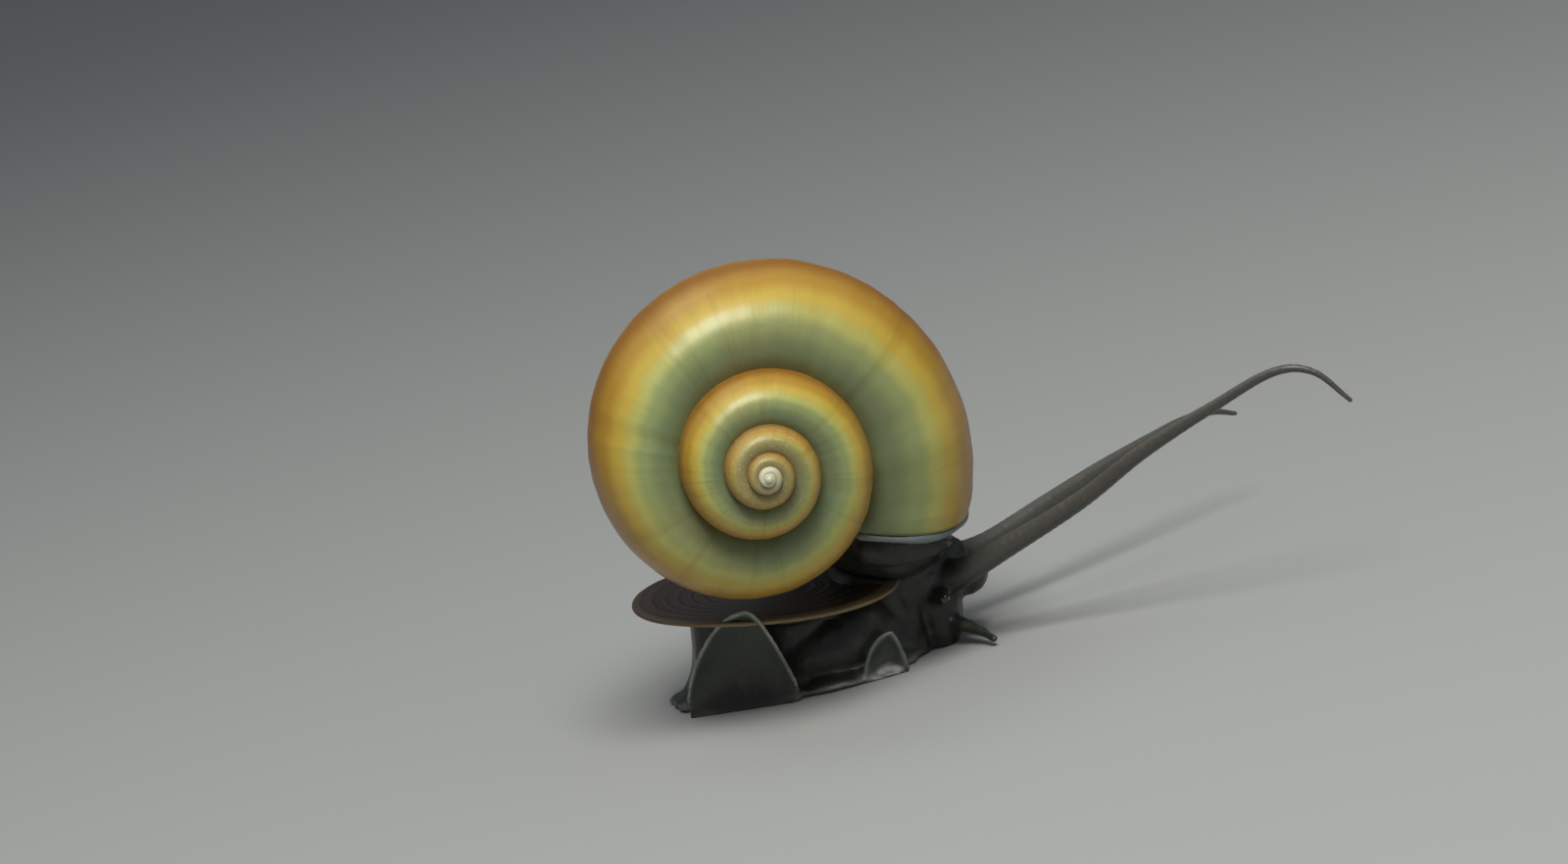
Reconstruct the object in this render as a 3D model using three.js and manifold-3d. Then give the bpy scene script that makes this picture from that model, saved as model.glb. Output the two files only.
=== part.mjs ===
// Apple snail, life size, crawling to +X with its spire turned to -Y. Millimetres, +Z up, the floor at Z = 0.
// The origin is the middle of the sole. Each sub-part is one closed solid, and neighbours keep GAP between
// their faces.
import * as THREE from "three";
import { mergeVertices } from "three/addons/utils/BufferGeometryUtils.js";
import Module from "manifold-3d";

const wasm = await Module();
wasm.setup();

const GAP = 0.3;
const V = (x, y, z) => new THREE.Vector3(x, y, z);
const degrees = THREE.MathUtils.degToRad;
const TURN = 2 * Math.PI;

// Shell: a tube whose outline grows by the same factor in every turn round one axis. The four extremes of the
// outline are given at the lip: distance out from the axis, and depth below the apex.
const GROWTH_PER_TURN = 2.03;
const SHOULDER = { out: 14.5, down: 14.0 };
const PERIPHERY = { out: 24.0, down: 28.5 };
const BASE = { out: 9.0, down: 50.0 };
const COLUMELLA = { out: 2.6, down: 36.0 };
const FULLNESS = { shoulder: 2.3, parietal: 2.0, columella: 2.0, flank: 1.95 };
const APEX = V(-0.5, -30.0, 25.9);
const SPIRE_YAW = degrees(4.0);
const SPIRE_PITCH = degrees(2.5);
const LIP_ANGLE = degrees(-40);
const WHORLS = 5.1;
const WALL = 1.0;
const SHELL_SIDES = 24;

// The coil ends COIL_END turns before the lip, and the last length of the whorl, as angles grown, runs past
// the lip. The hollow behind the lip reaches POCKET_DEPTH back, against the whorls of INNER_TURNS.
const COIL_END = -0.25;
const LAST_LENGTH = { from: degrees(-90), to: degrees(64), steps: 15 };
const POCKET_DEPTH = degrees(52);
const POCKET_STEPS = 11;
const INNER_TURNS = { from: -1.5, to: -0.7 };

// The filled middle of the coil, a cone along the axis, and the round cap at its point.
const CORE = { top: 2, bottom: 27, radiusAtApex: 0.1, spread: 0.08 };
const CAP_RADIUS = 0.85;

// The mouth of the shell is cut flat: the plane of the lip holds LIP_POINT and a line at LIP_SLOPE seen from
// the apex, and it leans back by LIP_LEAN for each millimetre of depth.
const LIP_POINT = V(6.4, -16.0, 15.9);
const LIP_SLOPE = degrees(-17.0);
const LIP_LEAN = 0.18;
const MANTLE_REACH = 0.8;
const MANTLE_SLACK = 0.05;

// Operculum: an oval horny plate on the back of the foot.
const OPERCULUM = {
  centre: V(-3.9, -3.6, 9.6),
  halfLength: 13.6,
  halfWidth: 9.3,
  thickness: 0.8,
  dish: 0.7,
  taper: 0.08,
  yaw: degrees(-10),
  pitch: degrees(8),
  roll: degrees(6),
};

// Foot: a flat pad with a mound under the operculum, and two places where the right margin curls up.
// A level of the pad is a share of its outline and a height. A bay draws the outline in round one direction.
const PAD = { frontX: 10.4, rearX: -16.0, widestX: 0.0, halfWidth: 11.2, frontPower: 2.8, rearPower: 2.1 };
const PAD_MARGIN_LEVELS = [[0.97, 0], [1, 0.25]];
const PAD_UPPER_LEVELS = [[0.985, 0.9], [0.9, 1.35], [0.72, 1.9], [0.45, 2.4]];
const PAD_BAYS = [
  { toward: degrees(233), spread: degrees(20), depth: 0.16 },
  { toward: degrees(300), spread: degrees(8), depth: 0.05 },
];

// A level of the mound is an oval: its middle, and its half length and half width. Its bay makes room for the
// rear fold.
const MOUND_LEVELS = [
  { x: -4.2, y: -0.8, z: 0.6, long: 10.8, wide: 9.0 },
  { x: -4.0, y: -1.1, z: 3.0, long: 9.4, wide: 8.0 },
  { x: -3.8, y: -1.8, z: 6.0, long: 8.8, wide: 7.3 },
  { x: -3.5, y: -2.4, z: 9.0, long: 8.6, wide: 7.3 },
  { x: -3.5, y: -2.9, z: 12.0, long: 8.6, wide: 7.3 },
];
const MOUND_BAYS = [{ toward: degrees(238), spread: degrees(26), depth: 0.26 }];
const FOOT_SPLIT_X = 2.0;
const HEAD_SPLIT_X = 9.6;
const HEAD_TOP_Z = 11.2;
const SNOUT_TOP_Z = 3.6;
const REAR_FOLD = { rear: V(-14.4, -6.4, 0.5), peak: V(-6.1, -13.6, 10.7), front: V(-2.6, -10.9, 0.5) };
const FRONT_FOLD = { rear: V(3.7, -10.3, 0.5), peak: V(7.4, -11.4, 4.6), front: V(8.4, -9.6, 0.5) };
const FOLD_PEAK_SHARE = 0.62;
const FOLD_CUP = 1.3;
const FOLD_ROOT_DEPTH = 1.0;
const FOLD_THICKNESS = 0.9;

// Stations of the limbs: the place, the half width across, and the half height where it isn't the same.
const NECK = [
  [11.4, 1.5, 17.6, 10.5, 6.0],
  [9.6, 1.0, 15.2, 11.0, 6.6],
  [9.2, 1.0, 12.2, 9.8, 7.0],
  [8.4, 1.4, 8.6, 7.6, 5.6],
  [6.6, 0.6, 4.8, 7.8, 6.0],
  [5.4, 0.0, 1.2, 9.0, 7.0],
];
const HEAD = [
  [6.5, 0.8, 7.6, 6.0, 4.4],
  [11.0, 0.3, 7.4, 6.4, 4.4],
  [14.6, 0.0, 6.9, 5.2, 3.7],
  [16.6, 0.0, 6.3, 3.0, 2.2],
];
const SNOUT = [
  [11.8, -0.2, 6.6, 4.6, 3.6],
  [12.3, -0.4, 4.0, 4.4, 3.1],
  [12.5, -0.6, 1.9, 4.1, 2.5],
  [12.4, -0.6, 0.9, 3.7, 2.2],
];

// The left and the right feeler have stations of their own, because the animal holds them differently.
const TENTACLES = {
  right: [
    [12.8, -3.4, 6.6, 1.9],
    [16.0, -4.9, 7.4, 1.5],
    [20.0, -6.6, 8.9, 1.15],
    [28.7, -10.0, 12.6, 0.9],
    [35.5, -13.2, 16.5, 0.78],
    [43.0, -16.4, 19.8, 0.56],
    [49.2, -18.6, 22.1, 0.45],
    [52.9, -19.8, 21.4, 0.33],
    [55.7, -20.6, 18.0, 0.25],
  ],
  left: [
    [12.8, 3.4, 6.6, 1.9],
    [16.0, 4.9, 6.9, 1.5],
    [19.8, 7.0, 7.2, 1.15],
    [27.0, 11.3, 8.9, 0.9],
    [33.4, 15.7, 10.1, 0.78],
    [39.4, 20.0, 11.0, 0.58],
    [43.6, 23.2, 11.4, 0.48],
    [47.0, 26.0, 11.0, 0.36],
    [49.6, 28.2, 9.8, 0.27],
  ],
};
const TENTACLE_CUTS = [-100, 24, 38, 100];
const PALPS = {
  right: [
    [12.8, -2.6, 2.6, 1.5, 1.1],
    [14.6, -4.2, 1.9, 1.2, 0.8],
    [16.4, -6.6, 1.2, 0.75, 0.5],
    [17.3, -8.6, 0.7, 0.35, 0.3],
  ],
  left: [
    [12.8, 2.6, 2.6, 1.5, 1.1],
    [14.2, 4.4, 1.9, 1.2, 0.8],
    [14.9, 6.4, 1.2, 0.7, 0.5],
    [14.8, 8.2, 0.7, 0.35, 0.3],
  ],
};
const EYES = { right: V(13.4, -6.8, 5.6), left: V(13.4, 6.8, 5.6) };
const EYE_RADIUS = 0.6;
const EYE_STALK = { rootAside: 2.4, rootRadius: 1.1, endAside: 0.4, endRadius: 0.75 };

// The two lobes of the nape: the left one is a flared tube, and the right one a thin flap.
const SIPHON = [
  [7.5, 8.0, 11.0, 2.7, 2.3],
  [10.2, 10.6, 10.4, 2.3, 2.0],
  [12.4, 12.2, 9.9, 2.3, 2.0],
  [14.2, 13.3, 9.5, 2.8, 2.5],
];
const SIPHON_BORE = [
  [10.6, 10.9, 10.3, 1.1, 0.9],
  [12.4, 12.2, 9.9, 1.5, 1.2],
  [14.2, 13.3, 9.5, 2.1, 1.8],
  [17.0, 15.0, 8.9, 3.0, 2.7],
];
const NAPE_LOBE = [
  [6.6, -8.7, 12.6, 0.5, 1.5],
  [10.2, -9.3, 12.0, 0.5, 2.0],
  [13.6, -8.0, 11.3, 0.5, 1.3],
];

// Materials, in the colours of the photographed animal.
const finish = (color, roughness) => new THREE.MeshStandardMaterial({ color, roughness, metalness: 0 });
const SHELL_FINISH = finish(0xb08a35, 0.3);
const HORN_FINISH = finish(0x6b4f35, 0.45);
const SKIN_FINISH = finish(0x2b2c2b, 0.35);
const MANTLE_FINISH = finish(0x56605f, 0.35);
const EYE_FINISH = finish(0x0b0a09, 0.1);

// A closed surface through rings of equally many points, with a fan to the middle of each end ring.
function skinOver(rings) {
  const sides = rings[0].length;
  const positions = [];
  const index = [];
  for (const ring of rings) for (const p of ring) positions.push(p.x, p.y, p.z);
  for (let i = 0; i + 1 < rings.length; i++) {
    for (let j = 0; j < sides; j++) {
      const a = i * sides + j;
      const b = i * sides + ((j + 1) % sides);
      index.push(a, b, b + sides, a, b + sides, a + sides);
    }
  }
  for (const [ring, turned] of [[0, true], [rings.length - 1, false]]) {
    const middle = rings[ring].reduce((sum, p) => sum.add(p), V(0, 0, 0)).divideScalar(sides);
    const hub = positions.length / 3;
    positions.push(middle.x, middle.y, middle.z);
    for (let j = 0; j < sides; j++) {
      const a = ring * sides + j;
      const b = ring * sides + ((j + 1) % sides);
      index.push(...(turned ? [hub, b, a] : [hub, a, b]));
    }
  }
  return new THREE.BufferGeometry()
    .setAttribute("position", new THREE.Float32BufferAttribute(positions, 3))
    .setIndex(index);
}

// A closed geometry as a solid that manifold-3d can join and cut.
function solid(geometry) {
  const bare = geometry.clone();
  bare.deleteAttribute("normal");
  bare.deleteAttribute("uv");
  const merged = mergeVertices(bare, 1e-4);
  const from = merged.index.array;
  const triangles = [];
  for (let i = 0; i < from.length; i += 3) {
    const [a, b, c] = [from[i], from[i + 1], from[i + 2]];
    if (a !== b && b !== c && c !== a) triangles.push(a, b, c);
  }
  const build = (triVerts) =>
    new wasm.Manifold(
      new wasm.Mesh({ numProp: 3, vertProperties: merged.attributes.position.array, triVerts }),
    );
  const made = build(new Uint32Array(triangles));
  if (made.volume() > 0) return made;
  const turned = triangles.map((_, i) => triangles[i - (i % 3) + 2 - (i % 3)]);
  return build(new Uint32Array(turned));
}

const joined = (solids) => solids.reduce((sum, next) => sum.add(next));
const cutBy = (body, ...tools) => tools.reduce((left, tool) => left.subtract(tool), body);

// The largest closed surface of a solid, as a named mesh.
function node(name, body, material) {
  const pieces = body.decompose().sort((a, b) => b.volume() - a.volume());
  const data = pieces[0].getMesh();
  const positions = new Float32Array(data.numVert * 3);
  for (let i = 0; i < data.numVert; i++)
    positions.set(data.vertProperties.subarray(i * data.numProp, i * data.numProp + 3), i * 3);
  const geometry = new THREE.BufferGeometry()
    .setAttribute("position", new THREE.BufferAttribute(positions, 3))
    .setIndex(new THREE.BufferAttribute(data.triVerts, 1));
  geometry.computeVertexNormals();
  const mesh = new THREE.Mesh(geometry, material);
  mesh.name = name;
  return mesh;
}

// The half space on one side of a plane across an axis: side 1 is what lies beyond it, and side -1 the rest.
function halfSpace(axis, at, side) {
  const size = 200;
  const shift = V(0, 0, 0).setComponent(axis, at + (side * size) / 2);
  return solid(new THREE.BoxGeometry(size, size, size).translate(shift.x, shift.y, shift.z));
}

const slabX = (x, side) => halfSpace(0, x, side);
const slabZ = (z, side) => halfSpace(2, z, side);

// Directions of the shell: ACROSS and RAISED span the plane that it coils in, and SPIRE points from the base
// to the apex.
const SPIRE = V(
  Math.sin(SPIRE_YAW) * Math.cos(SPIRE_PITCH),
  -Math.cos(SPIRE_YAW) * Math.cos(SPIRE_PITCH),
  Math.sin(SPIRE_PITCH),
);
const ACROSS = V(1, 0, 0).addScaledVector(SPIRE, -SPIRE.x).normalize();
const RAISED = SPIRE.clone().cross(ACROSS);
const GROWTH = Math.log(GROWTH_PER_TURN) / TURN;

// A point of the whorl's outline at the lip. Each quarter of it is a superellipse between two extremes.
function outline(angle, grow) {
  const cos = Math.cos(angle);
  const sin = Math.sin(angle);
  const outer = cos >= 0;
  const upper = sin >= 0;
  const power = upper
    ? (outer ? FULLNESS.shoulder : FULLNESS.parietal)
    : (outer ? FULLNESS.flank : FULLNESS.columella);
  const centre = {
    out: upper ? SHOULDER.out : BASE.out,
    down: outer ? PERIPHERY.down : COLUMELLA.down,
  };
  const reachOut = Math.abs((outer ? PERIPHERY.out : COLUMELLA.out) - centre.out) + grow;
  const reachDown = Math.abs((upper ? SHOULDER.down : BASE.down) - centre.down) + grow;
  return {
    out: centre.out + Math.sign(cos) * reachOut * Math.abs(cos) ** (2 / power),
    down: centre.down - Math.sign(sin) * reachDown * Math.abs(sin) ** (2 / power),
  };
}

// A point of the shell: growth is the angle grown past LIP_ANGLE, below zero for older shell.
function shellPoint(growth, angle, grow) {
  const scale = Math.exp(GROWTH * growth);
  const { out, down } = outline(angle, grow / scale);
  const around = LIP_ANGLE - growth;
  return APEX.clone()
    .addScaledVector(ACROSS, scale * out * Math.cos(around))
    .addScaledVector(RAISED, scale * out * Math.sin(around))
    .addScaledVector(SPIRE, -scale * down);
}

const shellRing = (growth, sides, grow) =>
  Array.from({ length: sides }, (_, j) => shellPoint(growth, (TURN * j) / sides, grow));

// A length of the whorl tube as one closed solid, at most half a turn, so that it doesn't cross itself.
function tube(from, to, steps, sides, grow) {
  const rings = Array.from({ length: steps + 1 }, (_, i) =>
    shellRing(from + ((to - from) * i) / steps, sides, grow),
  );
  return solid(skinOver(rings));
}

// Whorls between two ages in turns, joined from half turns with fewer facets towards the apex.
function whorls(from, to, grow) {
  const parts = [];
  for (let start = from; start < to - 1e-6; start += 0.5) {
    const end = Math.min(start + 0.5, to);
    const steps = Math.max(6, Math.round(13 * GROWTH_PER_TURN ** (end * 0.4)));
    const sides = end > -2.4 ? SHELL_SIDES : SHELL_SIDES / 2;
    parts.push(tube(start * TURN, end * TURN, steps, sides, grow));
  }
  return joined(parts);
}

function placedOnAxis(geometry) {
  const basis = new THREE.Matrix4().makeBasis(ACROSS, RAISED, SPIRE).setPosition(APEX);
  return geometry.applyMatrix4(basis);
}

// The filled middle of the coil, which leaves only a shallow umbilicus at the base.
function axisCore(grow) {
  const { top, bottom, radiusAtApex, spread } = CORE;
  const radius = (down) => radiusAtApex + spread * down + grow;
  const cone = new THREE.CylinderGeometry(radius(top), radius(bottom), bottom - top, 16);
  return solid(placedOnAxis(cone.rotateX(Math.PI / 2).translate(0, 0, -(top + bottom) / 2)));
}

function apexCap() {
  const ball = new THREE.SphereGeometry(CAP_RADIUS, 12, 8);
  return solid(placedOnAxis(ball.translate(0, 0, -CAP_RADIUS * 1.15)));
}

// Everything that lies further out of the mouth than the plane of the lip moved out by reach.
function beyondLip(reach) {
  const inCoilPlane = (angle) =>
    ACROSS.clone().multiplyScalar(Math.cos(angle)).addScaledVector(RAISED, Math.sin(angle));
  const line = inCoilPlane(LIP_SLOPE);
  const back = inCoilPlane(LIP_ANGLE + Math.PI / 2);
  const inward = SPIRE.clone().negate().addScaledVector(back, LIP_LEAN).normalize();
  const outward = inward.clone().cross(line).normalize();
  const size = 120;
  const basis = new THREE.Matrix4().makeBasis(line, outward.clone().cross(line), outward);
  basis.setPosition(LIP_POINT.clone().addScaledVector(outward, reach + size / 2));
  return solid(new THREE.BoxGeometry(size, size, size).applyMatrix4(basis));
}

// The last length of the whorl, cut off flat at the plane of the lip moved out by reach.
function lastWhorl(grow, reach) {
  const { from, to, steps } = LAST_LENGTH;
  return tube(from, to, steps, SHELL_SIDES, grow).subtract(beyondLip(reach));
}

const innerWhorls = (grow) => whorls(INNER_TURNS.from, INNER_TURNS.to, grow);

// The hollow behind the lip, open at the aperture and bounded inwards by the whorl before.
function pocket(inset) {
  const hollow = tube(-POCKET_DEPTH, LAST_LENGTH.to, POCKET_STEPS, SHELL_SIDES, -inset);
  return hollow.subtract(innerWhorls(inset - WALL));
}

function shell() {
  const coil = joined([whorls(-WHORLS, COIL_END, 0), lastWhorl(0, 0), axisCore(0), apexCap()]);
  return coil.subtract(pocket(WALL));
}

// What the flesh keeps clear of: the shell swollen by the gap, with its hollow narrowed by the gap.
function shellClearance() {
  const wall = joined([whorls(INNER_TURNS.from, COIL_END, GAP), lastWhorl(GAP, GAP), axisCore(GAP)]);
  return wall.subtract(pocket(WALL + GAP));
}

// Mantle: the flesh in the mouth of the shell, which reaches a little out of the lip.
function mantle(grow) {
  const inset = WALL + GAP + MANTLE_SLACK - grow;
  const back = -POCKET_DEPTH + 0.03 - grow / 12;
  const body = tube(back, LAST_LENGTH.to, POCKET_STEPS, SHELL_SIDES, -inset);
  return cutBy(body, beyondLip(MANTLE_REACH + grow), innerWhorls(GAP - grow), axisCore(GAP - grow));
}

// A smooth curve through points, which keeps clear of loops where their distances differ.
const smoothCurve = (points) => new THREE.CatmullRomCurve3(points, false, "catmullrom", 0.5);

// A limb: rings across a smooth path. Each station holds a point, a half width across and a half height.
// The half width lies along sideways, the half height across both it and the path, and the ends are rounded.
function limb(stations, { steps, sides, sideways = V(0, 1, 0), grow = 0, blunt = 0 }) {
  const path = smoothCurve(stations.map(([x, y, z]) => V(x, y, z)));
  const sizes = smoothCurve(stations.map(([, , , wide, high = wide]) => V(wide, high, 0)));
  const rings = [];
  for (let i = 0; i <= steps; i++) {
    const share = i / steps;
    const at = path.getPoint(share);
    const along = path.getTangent(share);
    const across = sideways.clone().addScaledVector(along, -sideways.dot(along)).normalize();
    const upward = along.clone().cross(across);
    const { x: wide, y: high } = sizes.getPoint(share);
    rings.push(
      Array.from({ length: sides }, (_, j) => {
        const turn = (TURN * j) / sides;
        return at
          .clone()
          .addScaledVector(across, (wide + grow) * Math.cos(turn))
          .addScaledVector(upward, (high + grow) * Math.sin(turn));
      }),
    );
  }
  for (const [end, way] of [[0, -1], [steps, 1]]) {
    const share = end / steps;
    const along = path.getTangent(share);
    const { x: wide, y: high } = sizes.getPoint(share);
    const reach = Math.min(wide, high) * (1 - blunt) * 0.7 + grow;
    const middle = path.getPoint(share);
    const closing = rings[end === 0 ? 0 : rings.length - 1].map((p) =>
      p.clone().sub(middle).multiplyScalar(0.6).add(middle).addScaledVector(along, way * reach),
    );
    if (way < 0) rings.unshift(closing);
    else rings.push(closing);
  }
  return solid(skinOver(rings));
}

// The share of an outline's reach that its bays leave in the direction turn.
function withinBays(turn, bays) {
  const dent = ({ toward, spread, depth }) => depth * Math.exp(-(((turn - toward) / spread) ** 2));
  return bays.reduce((left, bay) => left - dent(bay), 1);
}

// The sole's outline: two halves of superellipses, drawn in at the bays where the margin curls up.
function padOutline(turn) {
  const cos = Math.cos(turn);
  const sin = Math.sin(turn);
  const reach = cos >= 0 ? PAD.frontX - PAD.widestX : PAD.widestX - PAD.rearX;
  const power = cos >= 0 ? PAD.frontPower : PAD.rearPower;
  const inward = withinBays(turn, PAD_BAYS);
  return {
    x: PAD.widestX + Math.sign(cos) * reach * Math.abs(cos) ** (2 / power) * inward,
    y: Math.sign(sin) * PAD.halfWidth * Math.abs(sin) ** (2 / power) * inward,
  };
}

// The pad of the foot, from under the sole up over its margin, in rings of the outline.
function pad(grow) {
  const sides = 48;
  const swell = 1 + grow / PAD.halfWidth;
  const ring = (share, height) =>
    Array.from({ length: sides }, (_, j) => {
      const { x, y } = padOutline((TURN * j) / sides);
      return V(PAD.widestX + (x - PAD.widestX) * share * swell, y * share * swell, height);
    });
  const [[soleShare, soleHeight], [rimShare, rimHeight]] = PAD_MARGIN_LEVELS;
  return solid(
    skinOver([
      ring(soleShare, soleHeight - grow),
      ring(rimShare, rimHeight),
      ...PAD_UPPER_LEVELS.map(([share, height]) => ring(share, height + grow)),
    ]),
  );
}

// The mound that carries the operculum.
function mound(grow) {
  const sides = 28;
  const rings = MOUND_LEVELS.map(({ x, y, z, long, wide }) =>
    Array.from({ length: sides }, (_, j) => {
      const turn = (TURN * j) / sides;
      const inward = withinBays(turn, MOUND_BAYS);
      return V(x + (long * inward + grow) * Math.cos(turn), y + (wide * inward + grow) * Math.sin(turn), z);
    }),
  );
  return solid(skinOver(rings));
}

function operculum(grow) {
  const { centre, halfLength, halfWidth, thickness, dish, taper, yaw, pitch, roll } = OPERCULUM;
  const turned = new THREE.Euler(roll, pitch, yaw, "ZYX");
  const sides = 32;
  const half = thickness / 2 + grow;
  const face = (share, side) => {
    const lift = dish * (share ** 2 - 0.5) + side * half;
    const reach = (size) => size * share + (share > 0.9 ? grow : 0);
    return Array.from({ length: sides }, (_, j) => {
      const turn = (TURN * j) / sides;
      const narrow = 1 - taper * Math.cos(turn);
      return V(reach(halfLength) * Math.cos(turn), reach(halfWidth) * narrow * Math.sin(turn), lift)
        .applyEuler(turned)
        .add(centre);
    });
  };
  const shares = [0.4, 0.75, 0.97];
  const rings = [...shares.map((s) => face(s, -1)), face(1, 0), ...shares.reverse().map((s) => face(s, 1))];
  return solid(skinOver(rings));
}

// A point of a curled-up length of the foot's margin. The share runs along its base line from rear to front,
// and the height from its root to its rim, which arches up to the peak.
function foldPoint({ rear, peak, front }, share, height) {
  const behind = share < FOLD_PEAK_SHARE;
  const base = rear.clone().lerp(front, share);
  const rise = behind ? share / FOLD_PEAK_SHARE : (1 - share) / (1 - FOLD_PEAK_SHARE);
  const arch = Math.sin((rise * Math.PI) / 2) ** (behind ? 0.75 : 0.9);
  const pull = rise ** (behind ? 1.6 : 1.2);
  const lean = peak.clone().sub(rear.clone().lerp(front, FOLD_PEAK_SHARE));
  const cup = FOLD_CUP * Math.sin(Math.PI * share) * Math.sin(Math.PI * height * 0.85);
  return V(
    base.x + lean.x * pull * height,
    base.y + lean.y * arch * height ** 2 + cup,
    base.z + lean.z * arch * height - FOLD_ROOT_DEPTH * (1 - height),
  );
}

// The curled-up margin: a thin cupped sheet, in rings that go up one face and down the other.
function fold(corners, columns, rows) {
  const rings = [];
  for (let i = 0; i <= columns; i++) {
    const share = 0.04 + (0.92 * i) / columns;
    const column = Array.from({ length: rows + 1 }, (_, j) => {
      const height = j / rows;
      const point = foldPoint(corners, share, height);
      const slope = foldPoint(corners, share + 0.01, height).sub(foldPoint(corners, share - 0.01, height));
      const above = foldPoint(corners, share, Math.min(height + 0.02, 1));
      const climb = above.sub(foldPoint(corners, share, height - 0.02));
      return { point, half: slope.cross(climb).normalize().multiplyScalar(FOLD_THICKNESS / 2) };
    });
    const upward = column.map(({ point, half }) => point.clone().add(half));
    const downward = column.reverse().map(({ point, half }) => point.clone().sub(half));
    rings.push([...upward, ...downward]);
  }
  return solid(skinOver(rings));
}

const neck = (grow) => limb(NECK, { steps: 9, sides: 28, grow, blunt: 0.6 });
const head = (grow) => limb(HEAD, { steps: 7, sides: 20, grow });
const snout = (grow) => limb(SNOUT, { steps: 5, sides: 18, grow });
const foreBody = (grow) => joined([neck(grow), head(grow), snout(grow)]);
const tentacle = (side, grow) => limb(TENTACLES[side], { steps: 32, sides: 8, grow });
const palp = (side, grow) => limb(PALPS[side], { steps: 8, sides: 8, grow });

// A short stalk on the outer side of each tentacle's root, with the eye seated on its end.
function eyeStalk(side, grow) {
  const { x, y, z } = EYES[side];
  const { rootAside, rootRadius, endAside, endRadius } = EYE_STALK;
  const inward = -Math.sign(y);
  const root = [x - 0.7, y + rootAside * inward, z + 0.2, rootRadius];
  const end = [x - 0.1, y + endAside * inward, z, endRadius];
  return limb([root, end], { steps: 3, sides: 10, grow, blunt: 0.3 });
}

function eye(side, grow) {
  const { x, y, z } = EYES[side];
  return solid(new THREE.SphereGeometry(EYE_RADIUS + grow, 10, 7).translate(x, y, z));
}

// Siphon: the left lobe of the nape, rolled into a short open tube that points forward.
function siphon() {
  const outer = limb(SIPHON, { steps: 8, sides: 16, blunt: 0.8 });
  return outer.subtract(limb(SIPHON_BORE, { steps: 6, sides: 16 }));
}

// Right lobe of the nape: a thin flap that hangs between the lip and the head.
const nuchalLobe = () => limb(NAPE_LOBE, { steps: 6, sides: 12, blunt: 0.5 });

function buildSnail() {
  const clearance = shellClearance();
  const mantleClear = mantle(GAP);
  const operculumClear = operculum(GAP);
  const floorUp = slabZ(0, 1);
  const padFlat = pad(0).intersect(floorUp);
  const padClear = pad(GAP);
  const foreClear = foreBody(GAP);
  const eyesClear = [eye("right", GAP), eye("left", GAP)];
  const foreCut = cutBy(foreBody(0), padClear, operculumClear, clearance, mantleClear, ...eyesClear);
  const fore = foreCut.intersect(floorUp);
  const headBlock = (shift) => slabX(HEAD_SPLIT_X + shift, 1).intersect(slabZ(HEAD_TOP_Z - shift, -1));
  const ahead = fore.intersect(headBlock(GAP / 2));
  const rear = cutBy(joined([padFlat, mound(0)]), neck(GAP), operculumClear, clearance);

  const snail = new THREE.Group();
  snail.add(
    node("shell", shell(), SHELL_FINISH),
    node("operculum", operculum(0), HORN_FINISH),
    node("mantle_collar", mantle(0), MANTLE_FINISH),
    node("foot_rear", rear.intersect(slabX(FOOT_SPLIT_X - GAP / 2, -1)), SKIN_FINISH),
    node("foot_front", padFlat.intersect(slabX(FOOT_SPLIT_X + GAP / 2, 1)), SKIN_FINISH),
    node("neck", fore.subtract(headBlock(-GAP / 2)), SKIN_FINISH),
    node("head", ahead.intersect(slabZ(SNOUT_TOP_Z + GAP / 2, 1)), SKIN_FINISH),
    node("snout", ahead.intersect(slabZ(SNOUT_TOP_Z - GAP / 2, -1)), SKIN_FINISH),
  );

  const aroundPad = [padClear, mound(GAP), operculumClear, clearance, foreClear];
  snail.add(
    node("foot_fold_rear", cutBy(fold(REAR_FOLD, 16, 6).intersect(floorUp), ...aroundPad), SKIN_FINISH),
    node("foot_fold_front", cutBy(fold(FRONT_FOLD, 8, 4).intersect(floorUp), ...aroundPad), SKIN_FINISH),
  );

  const flesh = [foreClear, padClear, clearance, mantleClear];
  snail.add(
    node("siphon", cutBy(siphon(), ...flesh), SKIN_FINISH),
    node("nuchal_lobe_right", cutBy(nuchalLobe(), operculumClear, ...flesh), SKIN_FINISH),
  );

  for (const side of ["right", "left"]) {
    const whole = cutBy(tentacle(side, 0), ...eyesClear, ...flesh);
    ["base", "middle", "tip"].forEach((part, i) => {
      const ahead = slabX(TENTACLE_CUTS[i] + GAP / 2, 1);
      const behind = slabX(TENTACLE_CUTS[i + 1] - GAP / 2, -1);
      snail.add(node(`tentacle_${side}_${part}`, whole.intersect(ahead).intersect(behind), SKIN_FINISH));
    });
    const tentacleClear = tentacle(side, GAP);
    snail.add(
      node(`palp_${side}`, cutBy(palp(side, 0), tentacleClear, ...flesh).intersect(floorUp), SKIN_FINISH),
      node(`eye_stalk_${side}`, cutBy(eyeStalk(side, 0), tentacleClear, ...eyesClear, ...flesh), SKIN_FINISH),
      node(`eye_${side}`, eye(side, 0), EYE_FINISH),
    );
  }
  return snail;
}

export default buildSnail();
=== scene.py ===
import bmesh
import bpy
import numpy as np
from mathutils import Matrix, Vector


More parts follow.
